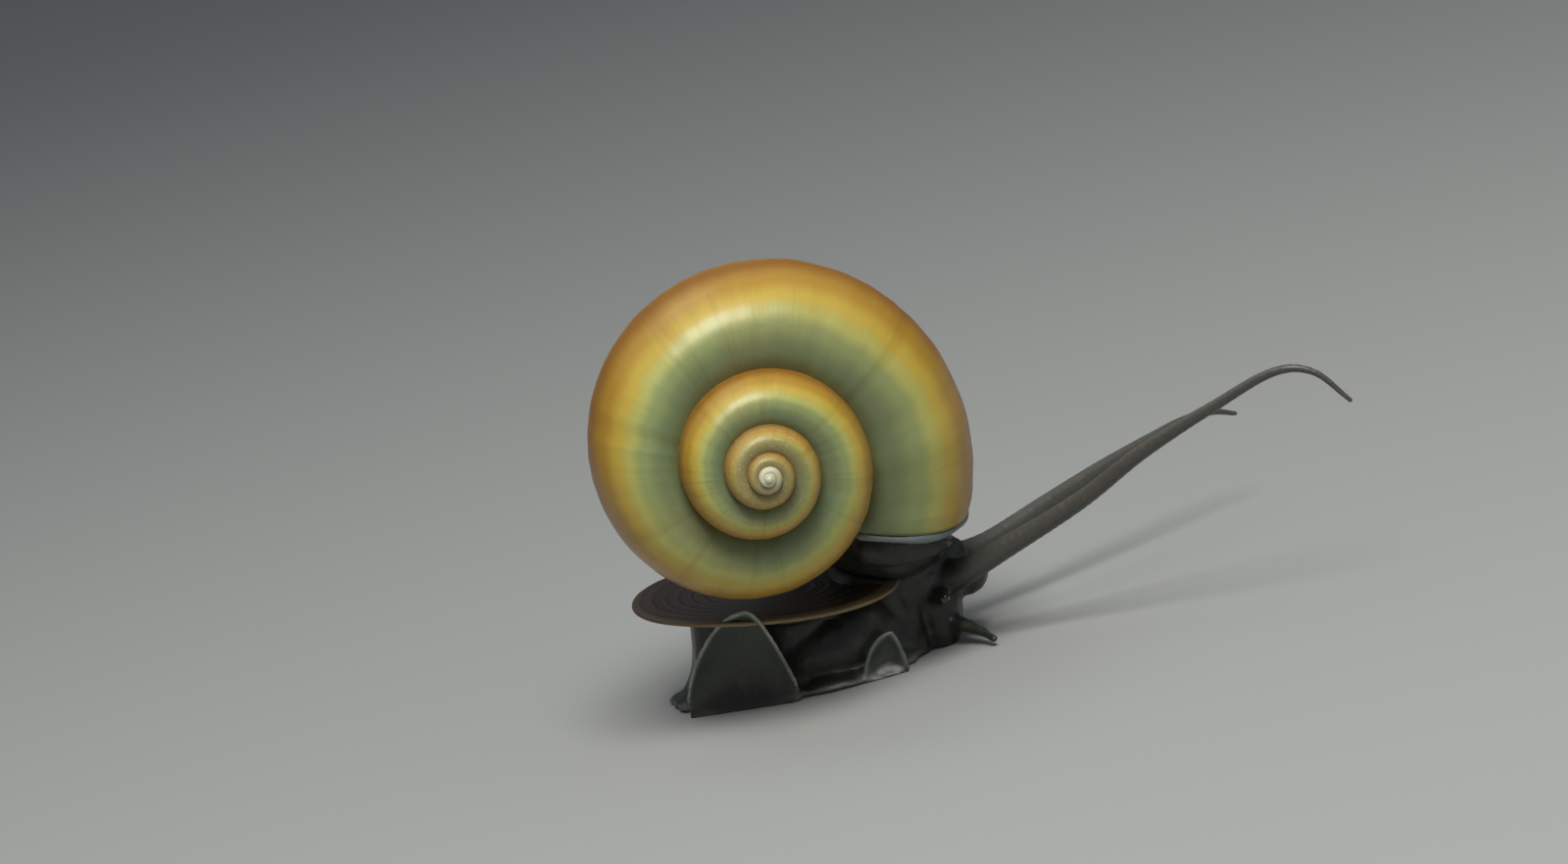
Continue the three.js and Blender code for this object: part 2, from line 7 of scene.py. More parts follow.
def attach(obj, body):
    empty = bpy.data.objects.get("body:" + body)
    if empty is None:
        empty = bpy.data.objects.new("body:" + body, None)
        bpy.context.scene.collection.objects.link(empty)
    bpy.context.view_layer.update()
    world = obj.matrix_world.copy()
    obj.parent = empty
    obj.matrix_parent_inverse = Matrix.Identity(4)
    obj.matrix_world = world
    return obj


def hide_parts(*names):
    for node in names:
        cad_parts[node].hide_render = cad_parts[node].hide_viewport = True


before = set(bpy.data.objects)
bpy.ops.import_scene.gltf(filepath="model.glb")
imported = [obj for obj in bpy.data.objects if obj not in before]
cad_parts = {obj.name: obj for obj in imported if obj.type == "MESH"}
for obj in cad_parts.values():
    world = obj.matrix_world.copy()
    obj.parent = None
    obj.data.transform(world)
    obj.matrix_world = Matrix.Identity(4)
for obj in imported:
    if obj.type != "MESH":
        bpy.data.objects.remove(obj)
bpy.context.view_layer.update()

# The view.
# The animal is seen square on from its right side, a little above the level of its foot. In the picture it
# climbs to the right, and here the level floor does, because the camera is rolled by the same angle.
MM = 0.001
CAMERA_ROLL = np.radians(14.0)
CAMERA_RISE = np.radians(10.0)
CAMERA_PLACE = (1.9, -433.0, 101.1)
LENS_LENGTH, SENSOR_WIDTH = 100, 36

level_up = np.array([0.0, np.sin(CAMERA_RISE), np.cos(CAMERA_RISE)])
camera_back = np.array([0.0, -np.cos(CAMERA_RISE), np.sin(CAMERA_RISE)])
camera_right = np.cos(CAMERA_ROLL) * np.array([1.0, 0.0, 0.0]) - np.sin(CAMERA_ROLL) * level_up
camera_up = np.cross(camera_back, camera_right)

lens = bpy.data.cameras.new("view")
lens.lens = LENS_LENGTH
lens.sensor_width = SENSOR_WIDTH
lens.clip_start = 0.01
lens.clip_end = 20
camera = bpy.data.objects.new("view", lens)
camera.matrix_world = Matrix.Translation(np.array(CAMERA_PLACE) * MM) @ Matrix(
    np.column_stack([camera_right, camera_up, camera_back])
).to_4x4()
bpy.context.scene.collection.objects.link(camera)
bpy.context.scene.camera = camera


# Shell.
# One piece of thin lime wall, laid down by the mantle at the mouth, so it grows as a coil whose outline gets
# larger by the same factor in every turn. Each whorl's wall starts on the one before it, along the suture.
GROWTH_PER_TURN = 2.03
OLDEST_TURNS = 5.9
WALL = 0.9

# The four extremes of the outline at the lip, each out from the axis and down from the apex, and how full
# the quarters between them are.
SHOULDER = (14.5, 14.0)
PERIPHERY = (24.0, 28.5)
BASE = (9.0, 50.0)
COLUMELLA = (2.6, 36.0)
FULL_SHOULDER, FULL_PARIETAL, FULL_COLUMELLA, FULL_FLANK = 2.3, 2.0, 2.0, 1.95

APEX = np.array([-0.5, -30.0, 25.9])
SPIRE_YAW, SPIRE_PITCH = np.radians(4.0), np.radians(2.5)
LIP_ANGLE = np.radians(-40)
LIP_POINT = np.array([6.4, -16.0, 15.9])
LIP_SLOPE, LIP_LEAN = np.radians(-17.0), 0.18

# The lip is looked for between these two growths.
LIP_REACH = np.radians(-40.0), np.radians(58.0)

# The wall runs round the outline from the suture to the umbilicus. In the crown it starts further round, so
# that the tiny first whorls close. Rows of the wall are placed by the number of turns before the lip.
SUTURE_ANGLE, UMBILICUS_ANGLE = np.radians(112), np.radians(-215)
CROWN_TURNS, CROWN_ANGLE = -4.6, np.radians(62)
WALL_COLUMNS = 90
WALL_ROWS = [(-OLDEST_TURNS, -2.4, 110), (-2.39, -1.2, 110), (-1.193, -0.012, 180)]
EDGE_ROWS = [-0.006, -0.003, 0.0]
FINE_RIPPLE, BROAD_RIPPLE = 0.03, 0.02
EDGE_BEVEL = 0.2
APEX_RADIUS, APEX_DEPTH = 0.42, 0.56

# Colours from the suture to the umbilicus, and over the growth lines, as screen colours and as tints.
SHELL_BANDS = [
    (0.0, (112, 104, 58)),
    (0.022, (104, 112, 76)),
    (0.06, (112, 128, 90)),
    (0.105, (144, 156, 102)),
    (0.14, (182, 181, 100)),
    (0.175, (198, 172, 72)),
    # The darker amber from 0.23 to 0.31, towards the periphery, is partly the shell's colour and partly
    # painted shade, the darkening where the whorl turns away towards its outline.
    (0.23, (178, 138, 46)),
    (0.31, (154, 104, 26)),
    (0.42, (188, 146, 48)),
    (0.6, (206, 168, 68)),
    (0.8, (176, 116, 34)),
]
STREAK_TINTS = [(0.3, (0.76, 0.7, 0.56, 1)), (0.5, (1, 1, 1, 1)), (0.72, (1.1, 1.12, 1.1, 1))]
LIP_TINTS = [(0.9, (1, 1, 1, 1)), (0.925, (0.84, 0.8, 0.74, 1)), (1.0, (0.86, 0.83, 0.78, 1))]
WHITE, BLACK = (1, 1, 1, 1), (0, 0, 0, 1)

spire = np.array(
    [
        np.sin(SPIRE_YAW) * np.cos(SPIRE_PITCH),
        -np.cos(SPIRE_YAW) * np.cos(SPIRE_PITCH),
        np.sin(SPIRE_PITCH),
    ]
)
across = np.array([1.0, 0.0, 0.0]) - spire[0] * spire
across /= np.linalg.norm(across)
raised = np.cross(spire, across)
GROWTH = np.log(GROWTH_PER_TURN) / (2 * np.pi)


def from_axis(out, around, down):
    """The point that lies out from the shell's axis, in the direction around, and down from the apex."""
    return (
        APEX
        + (out * np.cos(around))[..., None] * across
        + (out * np.sin(around))[..., None] * raised
        - down[..., None] * spire
    )


def whorl_outline(angle, swell):
    """Out and down from the apex, of the whorl's outline at the lip.

    Each quarter is a superellipse, |x|^n + |y|^n = 1, between two neighbouring extremes of the outline.
    """
    cos, sin = np.cos(angle), np.sin(angle)
    outer, upper = cos >= 0, sin >= 0
    power = np.where(
        upper,
        np.where(outer, FULL_SHOULDER, FULL_PARIETAL),
        np.where(outer, FULL_FLANK, FULL_COLUMELLA),
    )
    centre_out = np.where(upper, SHOULDER[0], BASE[0])
    centre_down = np.where(outer, PERIPHERY[1], COLUMELLA[1])
    reach_out = np.abs(np.where(outer, PERIPHERY[0], COLUMELLA[0]) - centre_out) + swell
    reach_down = np.abs(np.where(upper, SHOULDER[1], BASE[1]) - centre_down) + swell
    out = centre_out + np.sign(cos) * reach_out * np.abs(cos) ** (2 / power)
    down = centre_down - np.sign(sin) * reach_down * np.abs(sin) ** (2 / power)
    return out, down


def coil_point(growth, angle, swell):
    """A point of the coil in millimetres.

    The outline is scaled by e^(k growth) and turned round the axis by the growth, from the angle of the lip.
    """
    scale = np.exp(GROWTH * growth)
    out, down = whorl_outline(angle, swell / scale)
    return from_axis(scale * out, LIP_ANGLE - growth, scale * down)


def lip_normal():
    """The way out of the shell's mouth, square to the flat lip."""
    line = np.cos(LIP_SLOPE) * across + np.sin(LIP_SLOPE) * raised
    quarter_on = LIP_ANGLE + np.pi / 2
    back = np.cos(quarter_on) * across + np.sin(quarter_on) * raised
    normal = np.cross(-spire + LIP_LEAN * back, line)
    return normal / np.linalg.norm(normal)


def growth_at_lip(angle, reach, swell):
    """The growth at which each line along the coil reaches the plane of the lip, found by halving."""
    low = np.full(angle.shape, LIP_REACH[0])
    high = np.full(angle.shape, LIP_REACH[1])
    normal = lip_normal()
    for _ in range(30):
        middle = (low + high) / 2
        past = (coil_point(middle, angle, swell) - LIP_POINT) @ normal > reach
        high = np.where(past, middle, high)
        low = np.where(past, low, middle)
    return (low + high) / 2


def waves(points, lengths, seed):
    """A smooth bumpy field from -1 to 1: the mean of sine waves of the lengths, in fixed random ways."""
    chance = np.random.default_rng(seed)
    field = np.zeros(points.shape[:-1])
    for length in lengths:
        way = chance.normal(size=3)
        way *= 2 * np.pi / length / np.linalg.norm(way)
        field += np.sin(points @ way + chance.uniform(0, 6.28))
    return field / len(lengths)


def ring_faces(rows, around, start=0, capped=True):
    """Faces of a grid of closed rings: quads between them, a fan in the first, and in the last if capped.

    The vertices are numbered ring by ring from start, and the middles of the fans come after them.
    """
    first = np.arange(around)
    after = (first + 1) % around
    low = start + np.arange(rows - 1)[:, None] * around
    quads = np.stack([low + first, low + after, low + after + around, low + first + around], -1)
    middle = np.full(around, start + rows * around)
    faces = quads.reshape(-1, 4).tolist()
    faces += np.stack([middle, start + after, start + first], -1).tolist()
    if capped:
        last = start + (rows - 1) * around
        faces += np.stack([middle + 1, last + first, last + after], -1).tolist()
    return faces


def ring_points(rings, capped=True):
    """The rings' vertices in one list, then the middle of the first ring, and of the last if capped."""
    middles = [rings[:1].mean(1), rings[-1:].mean(1)]
    return np.concatenate([rings.reshape(-1, rings.shape[-1]), *middles[: 1 + capped]])


def ring_mesh(name, rings, uv, end="fan"):
    """A smooth closed mesh through a grid of closed rings, given in millimetres.

    Each end is closed by a fan to the ring's middle, or, where the last ring is folded flat on itself, by
    merging its two halves.
    """
    capped = end == "fan"
    mesh = bpy.data.meshes.new(name)
    mesh.from_pydata(ring_points(rings, capped) * MM, [], ring_faces(*rings.shape[:2], capped=capped))
    corners = np.empty(len(mesh.loops), np.int32)
    mesh.loops.foreach_get("vertex_index", corners)
    values = ring_points(uv, capped)[corners].astype(np.float32)
    mesh.uv_layers.new(name="growth").data.foreach_set("uv", values.ravel())
    merged = bmesh.new()
    merged.from_mesh(mesh)
    bmesh.ops.remove_doubles(merged, verts=merged.verts, dist=2e-7)
    bmesh.ops.recalc_face_normals(merged, faces=merged.faces)
    merged.to_mesh(mesh)
    merged.free()
    mesh.shade_smooth()
    made = bpy.data.objects.new(name, mesh)
    bpy.context.scene.collection.objects.link(made)
    return made


def shell_wall():
    """The wall as a grid of closed rings, each out along the outer face and back along the inner.

    Growth is 2 pi times the turns, and over the last half turn more and more of the growth at the lip is
    added. The ripple is two sines of the turns, and the wall thins and is bevelled over the last few rows.
    The texture map holds the turns before the lip, and the share of the way from suture to umbilicus.
    """
    share = np.linspace(0, 1, WALL_COLUMNS)
    turns = np.concatenate([np.linspace(*run) for run in WALL_ROWS] + [EDGE_ROWS])[:, None]
    first_angle = SUTURE_ANGLE + CROWN_ANGLE * np.clip((CROWN_TURNS - turns) / 0.6, 0, 1)
    angle = first_angle + (UMBILICUS_ANGLE - first_angle) * share[None, :]
    late = np.clip(1 + turns / 0.5, 0, 1) ** 2
    growth = turns * 2 * np.pi + growth_at_lip(angle, 0.0, 0.0) * late
    size = np.exp(GROWTH * growth)
    fine = FINE_RIPPLE * np.sin(turns * 195 + 3 * np.sin(turns * 33))
    ripple = fine + BROAD_RIPPLE * np.sin(turns * 86 + 1.0)
    thin = np.interp(turns, [-0.05, -0.006, -0.003, 0.0], [1.0, 0.7, 0.5, 0.0])
    wall = WALL * thin * np.clip(size * 1.5, 0.1, 1.0)
    bevel = (1 - thin) * EDGE_BEVEL * (turns > -0.01)
    outer = coil_point(growth, angle, ripple * size - bevel)
    inner = coil_point(growth, angle, ripple * size - bevel - wall)
    rings = np.concatenate([outer, inner[:, ::-1]], 1)
    across_share = (SUTURE_ANGLE - angle) / (SUTURE_ANGLE - UMBILICUS_ANGLE)
    place = np.stack([turns + 0 * angle, np.clip(across_share, 0, 1)], -1)
    return rings, np.concatenate([place, place[:, ::-1]], 1)


def apex_rings():
    """The first tiny whorl as a ball under the apex, with the texture map of the oldest shell."""
    turn = np.linspace(0, 2 * np.pi, 32, endpoint=False)[None, :]
    lean = np.linspace(0.02, np.pi - 0.02, 20)[:, None]
    rings = from_axis(APEX_RADIUS * np.sin(lean), turn, APEX_DEPTH - APEX_RADIUS * np.cos(lean))
    return rings, np.stack([-OLDEST_TURNS + 0 * lean * turn, 0.1 + 0 * lean * turn], -1)


def new_material(name, roughness):
    """A material with a Principled shader, and the shader's node."""
    made = bpy.data.materials.new(name)
    made.use_nodes = True
    shader = made.node_tree.nodes["Principled BSDF"]
    shader.inputs["Roughness"].default_value = roughness
    return made, shader


def colour(red, green, blue):
    """A colour as read off a screen, from 0 to 255, as the linear values that a shader takes."""
    value = np.array([red, green, blue]) / 255.0
    linear = np.where(value <= 0.04045, value / 12.92, ((value + 0.055) / 1.055) ** 2.4)
    return (*linear.tolist(), 1.0)


def add_node(material, kind, inputs=None, **settings):
    """A node with its settings, whose inputs are set to values or linked to other nodes' outputs."""
    made = material.node_tree.nodes.new(kind)
    for key, value in settings.items():
        setattr(made, key, value)
    for key, value in (inputs or {}).items():
        if isinstance(value, bpy.types.NodeSocket):
            material.node_tree.links.new(value, made.inputs[key])
        else:
            made.inputs[key].default_value = value
    return made


def ramp(material, source, stops):
    """A colour ramp over source, with stops of place and linear colour."""
    made = add_node(material, "ShaderNodeValToRGB", {"Fac": source})
    made.color_ramp.interpolation = "EASE"
    while len(made.color_ramp.elements) < len(stops):
        made.color_ramp.elements.new(0.5)
    for element, (place, tint) in zip(made.color_ramp.elements, stops):
        element.position = place
        element.color = tint
    return made.outputs["Color"]


def screen_ramp(material, source, stops):
    """A colour ramp over source, with stops of place and screen colour."""
    return ramp(material, source, [(place, colour(*tint)) for place, tint in stops])


def mask(material, source, none, full):
    """Black where source is at none or below, white at full or above, and a smooth step between."""
    return ramp(material, source, [(none, BLACK), (full, WHITE)])


def blend(material, amount, low, high, kind="MIX"):
    """The colour low turned into high by amount."""
    inputs = {"Factor": amount, "A": low, "B": high}
    made = add_node(material, "ShaderNodeMix", inputs, data_type="RGBA", blend_type=kind)
    return made.outputs[2]


def maths(material, operation, first, second=0.0, third=0.0):
    """The result of one operation on numbers, each a value or another node's output."""
    made = add_node(material, "ShaderNodeMath", {0: first, 1: second, 2: third}, operation=operation)
    return made.outputs[0]


def cover(material, under, over, share, strength):
    """The colour under with the screen colour over laid on it, by share times strength."""
    return blend(material, maths(material, "MULTIPLY", share, strength), under, colour(*over))


def noise(material, place, scale, detail=3.0, rough=0.5):
    """A cloudy pattern from 0 to 1 over a texture place."""
    inputs = {"Vector": place, "Scale": scale, "Detail": detail, "Roughness": rough}
    return add_node(material, "ShaderNodeTexNoise", inputs).outputs["Fac"]


def streaked(material, place, along, crosswise, detail=3.0, rough=0.5):
    """Noise over a texture place whose two directions are scaled apart, so that clouds become streaks."""
    scaled = add_node(material, "ShaderNodeMapping", {"Vector": place, "Scale": (along, crosswise, 1.0)})
    return noise(material, scaled.outputs["Vector"], 1.0, detail, rough)


def growth_map(material):
    """The place on the growth map, and its two directions apart."""
    where = add_node(material, "ShaderNodeUVMap", uv_map="growth").outputs["UV"]
    split = add_node(material, "ShaderNodeSeparateXYZ", {"Vector": where})
    return where, split.outputs["X"], split.outputs["Y"]


def relief(material, shader, height, strength, distance):
    """Fine relief on the shader, as a bump from a pattern of heights."""
    inputs = {"Height": height, "Strength": strength, "Distance": distance}
    bump = add_node(material, "ShaderNodeBump", inputs)
    material.node_tree.links.new(bump.outputs["Normal"], shader.inputs["Normal"])


def shell_colour(made, where, turns, share):
    """Bands along the coil, moved a little by noise, under fine pale and amber streaks across it.

    The newest strip by the lip is duller. The oldest whorls fade to a speckled tan with a painted shade line
    along the suture, and the crown to cream.
    """
    wander = streaked(made, where, 5.0, 2.0)
    fingers = streaked(made, where, 42.0, 1.2)
    drift = maths(made, "MULTIPLY_ADD", fingers, 0.034, maths(made, "MULTIPLY", wander, 0.04))
    shifted = maths(made, "ADD", share, maths(made, "SUBTRACT", drift, 0.037))
    bands = screen_ramp(made, shifted, SHELL_BANDS)
    streaks = ramp(made, streaked(made, where, 30.0, 0.6, 5.0, 0.62), STREAK_TINTS)
    banded = blend(made, 0.7, bands, streaks, "MULTIPLY")
    patch = mask(made, streaked(made, where, 3.4, 2.2, 2.0), 0.45, 0.7)
    amber = cover(made, banded, (172, 112, 30), patch, 0.12)
    newest = ramp(made, maths(made, "ADD", turns, 1.0), LIP_TINTS)
    grown = blend(made, 1.0, amber, newest, "MULTIPLY")
    before = maths(made, "MULTIPLY", turns, -0.17)
    age = mask(made, before, 0.24, 0.5)
    old = cover(made, grown, (164, 132, 78), age, 0.6)
    speckle = streaked(made, where, 60.0, 34.0, 2.0, 0.7)
    flecks = maths(made, "MULTIPLY", mask(made, speckle, 0.6, 0.66), age)
    flecked = cover(made, old, (224, 212, 176), flecks, 0.5)
    pale = cover(made, flecked, (232, 224, 190), mask(made, before, 0.6, 0.74), 0.85)
    # Painted shade: a dark line along the suture of the oldest whorls, where the seam between whorls lies in
    # shade.
    painted_suture_shade = maths(made, "MULTIPLY", ramp(made, share, [(0.0, WHITE), (0.03, BLACK)]), age)
    return cover(made, pale, (96, 70, 34), painted_suture_shade, 0.8)


def shell_finish():
    """Olive by the suture, then jade, pale yellow and gold with an amber edge that is partly painted shade,
    under an uneven gloss.
    """
    made, shader = new_material("shell_lime", 0.3)
    where, turns, share = growth_map(made)
    made.node_tree.links.new(shell_colour(made, where, turns, share), shader.inputs["Base Color"])
    rub = streaked(made, where, 30.0, 9.0, 4.0)
    gloss = add_node(made, "ShaderNodeMapRange", {"Value": rub, "To Min": 0.3, "To Max": 0.5})
    made.node_tree.links.new(gloss.outputs["Result"], shader.inputs["Roughness"])
    relief(made, shader, streaked(made, where, 150.0, 1.2, 5.0, 0.65), 0.35, 0.00012)
    shader.inputs["Subsurface Weight"].default_value = 0.25
    shader.inputs["Subsurface Radius"].default_value = (1.0, 0.6, 0.2)
    shader.inputs["Subsurface Scale"].default_value = 0.0012
    shader.inputs["Coat Weight"].default_value = 0.18
    shader.inputs["Coat Roughness"].default_value = 0.2
    return made


shell = ring_mesh("shell_coil", *shell_wall(), end="fold")
apex = ring_mesh("shell_apex", *apex_rings())
shell_paint = shell_finish()
for piece in (shell, apex):
    piece.data.materials.append(shell_paint)
    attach(piece, "root")
    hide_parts("shell")


# Operculum.
# The horny lid that shuts the mouth when the animal draws in. It grows in rings round a point near one side,
# is a little dished, and is carried flat on the back of the foot.
LID_CENTRE = np.array([-3.9, -3.6, 9.6])
LID_HALF_LENGTH, LID_HALF_WIDTH, LID_THICKNESS, LID_DISH = 13.6, 9.3, 0.8, 0.7
LID_YAW, LID_PITCH, LID_ROLL = np.radians(-10), np.radians(8), np.radians(6)
LID_OFF_CENTRE = 2.4
LID_EDGE = 0.55
LID_WAVE = 0.12
LID_UNDER_RINGS, LID_UPPER_RINGS = 60, 90
HORN_BANDS = [
    (0.0, (46, 38, 28)),
    (0.55, (56, 44, 32)),
    (0.88, (70, 54, 38)),
    (0.955, (84, 68, 48)),
    (0.985, (134, 116, 84)),
    (1.0, (146, 130, 98)),
]
RING_TINTS = [(0.35, (0.6, 0.56, 0.5, 1)), (0.65, (1.2, 1.16, 1.1, 1))]


def turned(points, yaw, pitch, roll):
    """Points turned about X by roll, then about Y by pitch, then about Z by yaw."""
    about_x = np.array([[1, 0, 0], [0, np.cos(roll), -np.sin(roll)], [0, np.sin(roll), np.cos(roll)]])
    about_y = np.array([[np.cos(pitch), 0, np.sin(pitch)], [0, 1, 0], [-np.sin(pitch), 0, np.cos(pitch)]])
    about_z = np.array([[np.cos(yaw), -np.sin(yaw), 0], [np.sin(yaw), np.cos(yaw), 0], [0, 0, 1]])
    return points @ (about_z @ about_y @ about_x).T


def lid_rings():
    """Rings from the middle of the underside, round the edge, to the middle of the upper face.

    An oval of share times its half sizes, narrower at the front, dished by share squared, with fine growth
    steps. Side runs from -1 on the underside to 1 on the upper face. The texture map holds the share, and
    how far back the place is from the front end.
    """
    outward = np.linspace(0.03, 0.985, LID_UNDER_RINGS)
    inward = np.linspace(0.985, 0.03, LID_UPPER_RINGS)
    share = np.concatenate([outward, [0.997, 1.0, 0.997], inward])[:, None]
    side = np.concatenate([0 * outward - 1, [-0.6, 0.0, 0.6], 0 * inward + 1])[:, None]
    turn = np.linspace(0, 2 * np.pi, 120, endpoint=False)[None, :]
    off_centre = LID_OFF_CENTRE * (1 - share)
    steps = np.where(side > 0.9, 0.022 * np.sin(share * 62) + 0.018 * np.sin(share * 121 + 1), 0.0)
    wavy = LID_WAVE * np.sin(3 * turn + 1) * share**2
    x = LID_HALF_LENGTH * share * np.cos(turn) - off_centre * 0.6
    y = LID_HALF_WIDTH * share * (1 - 0.08 * np.cos(turn)) * np.sin(turn) + off_centre
    edge = LID_EDGE + (1 - LID_EDGE) * np.clip((1 - share) / 0.15, 0, 1)
    z = LID_DISH * (share**2 - 0.5) + side * LID_THICKNESS / 2 * edge + steps + wavy
    rings = turned(np.stack([x, y, z + 0 * turn], -1), LID_YAW, LID_PITCH, LID_ROLL) + LID_CENTRE
    return rings, np.stack([share + 0 * turn, 0.5 - 0.5 * np.cos(turn) + 0 * share], -1)


def horn_finish():
    """Brown horn with dark and light growth rings, and a paler rim that widens towards the front end,
    painted light on the shaded front end.
    """
    made, shader = new_material("operculum_horn", 0.4)
    where, share, back = growth_map(made)
    rings = streaked(made, where, 26.0, 0.4, 4.0, 0.6)
    # Painted light and shade: the ramp is shifted so that the front end is paler and the rear a little
    # darker.
    front_painted_light = maths(made, "SUBTRACT", 0.6, back)
    base = screen_ramp(made, maths(made, "MULTIPLY_ADD", front_painted_light, 0.11, share), HORN_BANDS)
    ringed = blend(made, 0.5, base, ramp(made, rings, RING_TINTS), "MULTIPLY")
    made.node_tree.links.new(ringed, shader.inputs["Base Color"])
    relief(made, shader, rings, 0.3, 0.0001)
    shader.inputs["Subsurface Weight"].default_value = 0.2
    shader.inputs["Subsurface Radius"].default_value = (1.0, 0.5, 0.25)
    shader.inputs["Subsurface Scale"].default_value = 0.0008
    return made


lid = ring_mesh("operculum_plate", *lid_rings())
lid.data.materials.append(horn_finish())
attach(lid, "root")
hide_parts("operculum")


# Skin.
# Foot, neck, head, snout, feelers, palps, siphon, nape lobe and the mantle's edge are one soft wet skin.
# Each form is a closed surface, the forms are joined into one skin, and wrinkles are worked into it.
SKIN_VOXEL, SKIN_SMOOTHINGS = 0.26, 6

# The sole, and the levels of its margin as a share of the outline and a height. A bay draws an outline in.
FOOT_FRONT, FOOT_REAR, FOOT_HALF_WIDTH = 10.4, -16.0, 11.2
FOOT_LEVELS = [
    (0.9, 0.0),
    (0.97, 0.0),
    (0.99, 0.1),
    (1.0, 0.28),
    (0.985, 0.5),
    (0.95, 0.75),
    (0.88, 1.15),
    (0.8, 1.6),
    (0.68, 2.0),
    (0.5, 2.3),
]
SOLE_BAYS = [{"toward": 233, "spread": 20, "depth": 0.16}, {"toward": 300, "spread": 8, "depth": 0.05}]

# The mound under the lid as ovals: x, y, z, half length and half width.
MOUND_LEVELS = [
    (-4.2, -0.8, 0.6, 11.2, 9.4),
    (-4.1, -1.0, 1.8, 10.0, 8.4),
    (-3.9, -1.4, 3.8, 9.1, 7.6),
    (-3.7, -1.9, 6.4, 8.7, 7.2),
    (-3.5, -2.4, 9.0, 8.6, 7.3),
    (-3.5, -2.9, 12.0, 8.6, 7.3),
]
MOUND_BAYS = [{"toward": 238, "spread": 26, "depth": 0.26}]

# The two curled lengths of the foot's right margin: their rear corner, peak and front corner.
REAR_FOLD = [np.array(p) for p in [(-14.4, -6.4, 0.5), (-6.1, -13.6, 10.7), (-2.6, -10.9, 0.5)]]
FRONT_FOLD = [np.array(p) for p in [(3.7, -10.3, 0.5), (7.4, -11.4, 4.6), (8.4, -9.6, 0.5)]]
FOLD_PEAK = 0.62
FOLD_CUP = 1.3
FOLD_ROOT_THICK, FOLD_RIM_THICK = 1.7, 0.42

# Stations along a limb: x, y, z, half width and half height, or one radius for a round limb.
NECK = [
    (11.4, 1.5, 17.6, 10.5, 6.0),
    (9.6, 1.0, 15.2, 11.0, 6.6),
    (9.2, 1.0, 12.2, 9.8, 7.0),
    (8.4, 1.4, 8.6, 7.6, 5.6),
    (6.6, 0.6, 4.8, 7.8, 6.0),
    (5.4, 0.0, 1.6, 8.6, 6.6),
]
HEAD = [
    (6.5, 0.8, 7.6, 6.0, 4.4),
    (11.0, 0.3, 7.4, 6.4, 4.4),
    (14.6, 0.0, 6.9, 5.2, 3.7),
    (16.4, 0.0, 6.3, 3.2, 2.4),
]
SNOUT = [
    (11.8, -0.2, 6.6, 4.6, 3.6),
    (12.3, -0.4, 4.0, 4.4, 3.1),
    (12.5, -0.6, 1.9, 4.1, 2.5),
    (12.4, -0.6, 1.1, 3.7, 2.2),
]
FEELERS = {
    "right": [
        (12.8, -3.4, 6.6, 1.9),
        (16.0, -4.9, 7.4, 1.5),
        (20.0, -6.6, 8.9, 1.15),
        (28.7, -10.0, 12.6, 0.9),
        (35.5, -13.2, 16.5, 0.78),
        (43.0, -16.4, 19.8, 0.56),
        (49.2, -18.6, 22.1, 0.45),
        (52.9, -19.8, 21.4, 0.33),
        (55.7, -20.6, 18.0, 0.22),
    ],
    "left": [
        (12.8, 3.4, 6.6, 1.9),
        (16.0, 4.9, 6.9, 1.5),
        (19.8, 7.0, 7.2, 1.15),
        (27.0, 11.3, 8.9, 0.9),
        (33.4, 15.7, 10.1, 0.78),
        (39.4, 20.0, 11.0, 0.58),
        (43.6, 23.2, 11.4, 0.48),
        (47.0, 26.0, 11.0, 0.36),
        (49.6, 28.2, 9.8, 0.24),
    ],
}
PALPS = {
    "right": [
        (12.8, -2.6, 2.6, 1.5, 1.1),
        (14.6, -4.2, 1.9, 1.2, 0.8),
        (16.4, -6.6, 1.2, 0.75, 0.5),
        (17.3, -8.6, 0.7, 0.4, 0.35),
    ],
    "left": [
        (12.8, 2.6, 2.6, 1.5, 1.1),
        (14.2, 4.4, 1.9, 1.2, 0.8),
        (14.9, 6.4, 1.2, 0.7, 0.5),
        (14.8, 8.2, 0.7, 0.4, 0.35),
    ],
}
SIPHON = [
    (8.6, 5.4, 11.4, 2.3, 2.0),
    (9.6, 9.0, 10.9, 2.5, 2.1),
    (10.8, 11.0, 10.4, 2.4, 2.0),
    (12.4, 12.2, 9.9, 2.3, 2.0),
    (14.2, 13.3, 9.5, 2.8, 2.5),
]
SIPHON_BORE = [
    (10.6, 10.9, 10.3, 1.1, 0.9),
    (12.4, 12.2, 9.9, 1.6, 1.3),
    (14.2, 13.3, 9.5, 2.2, 1.9),
]
SIPHON_SKIRT = [
    (5.0, 6.6, 10.4, 1.6, 2.6),
    (8.6, 9.2, 9.2, 1.3, 2.4),
    (12.0, 11.4, 8.9, 0.9, 1.4),
]
NAPE_LOBE = [
    (6.4, -6.6, 12.6, 0.5, 0.8),
    (6.8, -8.5, 12.7, 0.8, 1.5),
    (10.2, -9.0, 12.1, 0.9, 1.9),
    (13.4, -7.9, 11.4, 0.8, 1.2),
    (15.2, -6.0, 10.8, 0.5, 0.5),
]
FLANKS = [
    [(-5.0, -6.6, 2.4, 2.0, 2.2), (0.5, -7.2, 3.2, 2.4, 3.2), (5.6, -6.4, 4.2, 2.6, 3.8)],
    [(-5.0, 4.6, 3.0, 2.2, 3.0), (0.5, 5.0, 4.0, 2.6, 4.0), (5.6, 4.6, 5.0, 2.8, 4.4)],
]
EYES = {"right": np.array([13.4, -6.8, 5.6]), "left": np.array([13.4, 6.8, 5.6])}
EYE_RADIUS = 0.6

# Thin limbs are joined at LEAST_GIRTH, and the feelers are drawn in to their true girth afterwards.
LEAST_GIRTH = 0.42
FEELER_PLACES = 480
FEELER_RING_PITCH, FEELER_RING_DEPTH = 0.9, 0.014

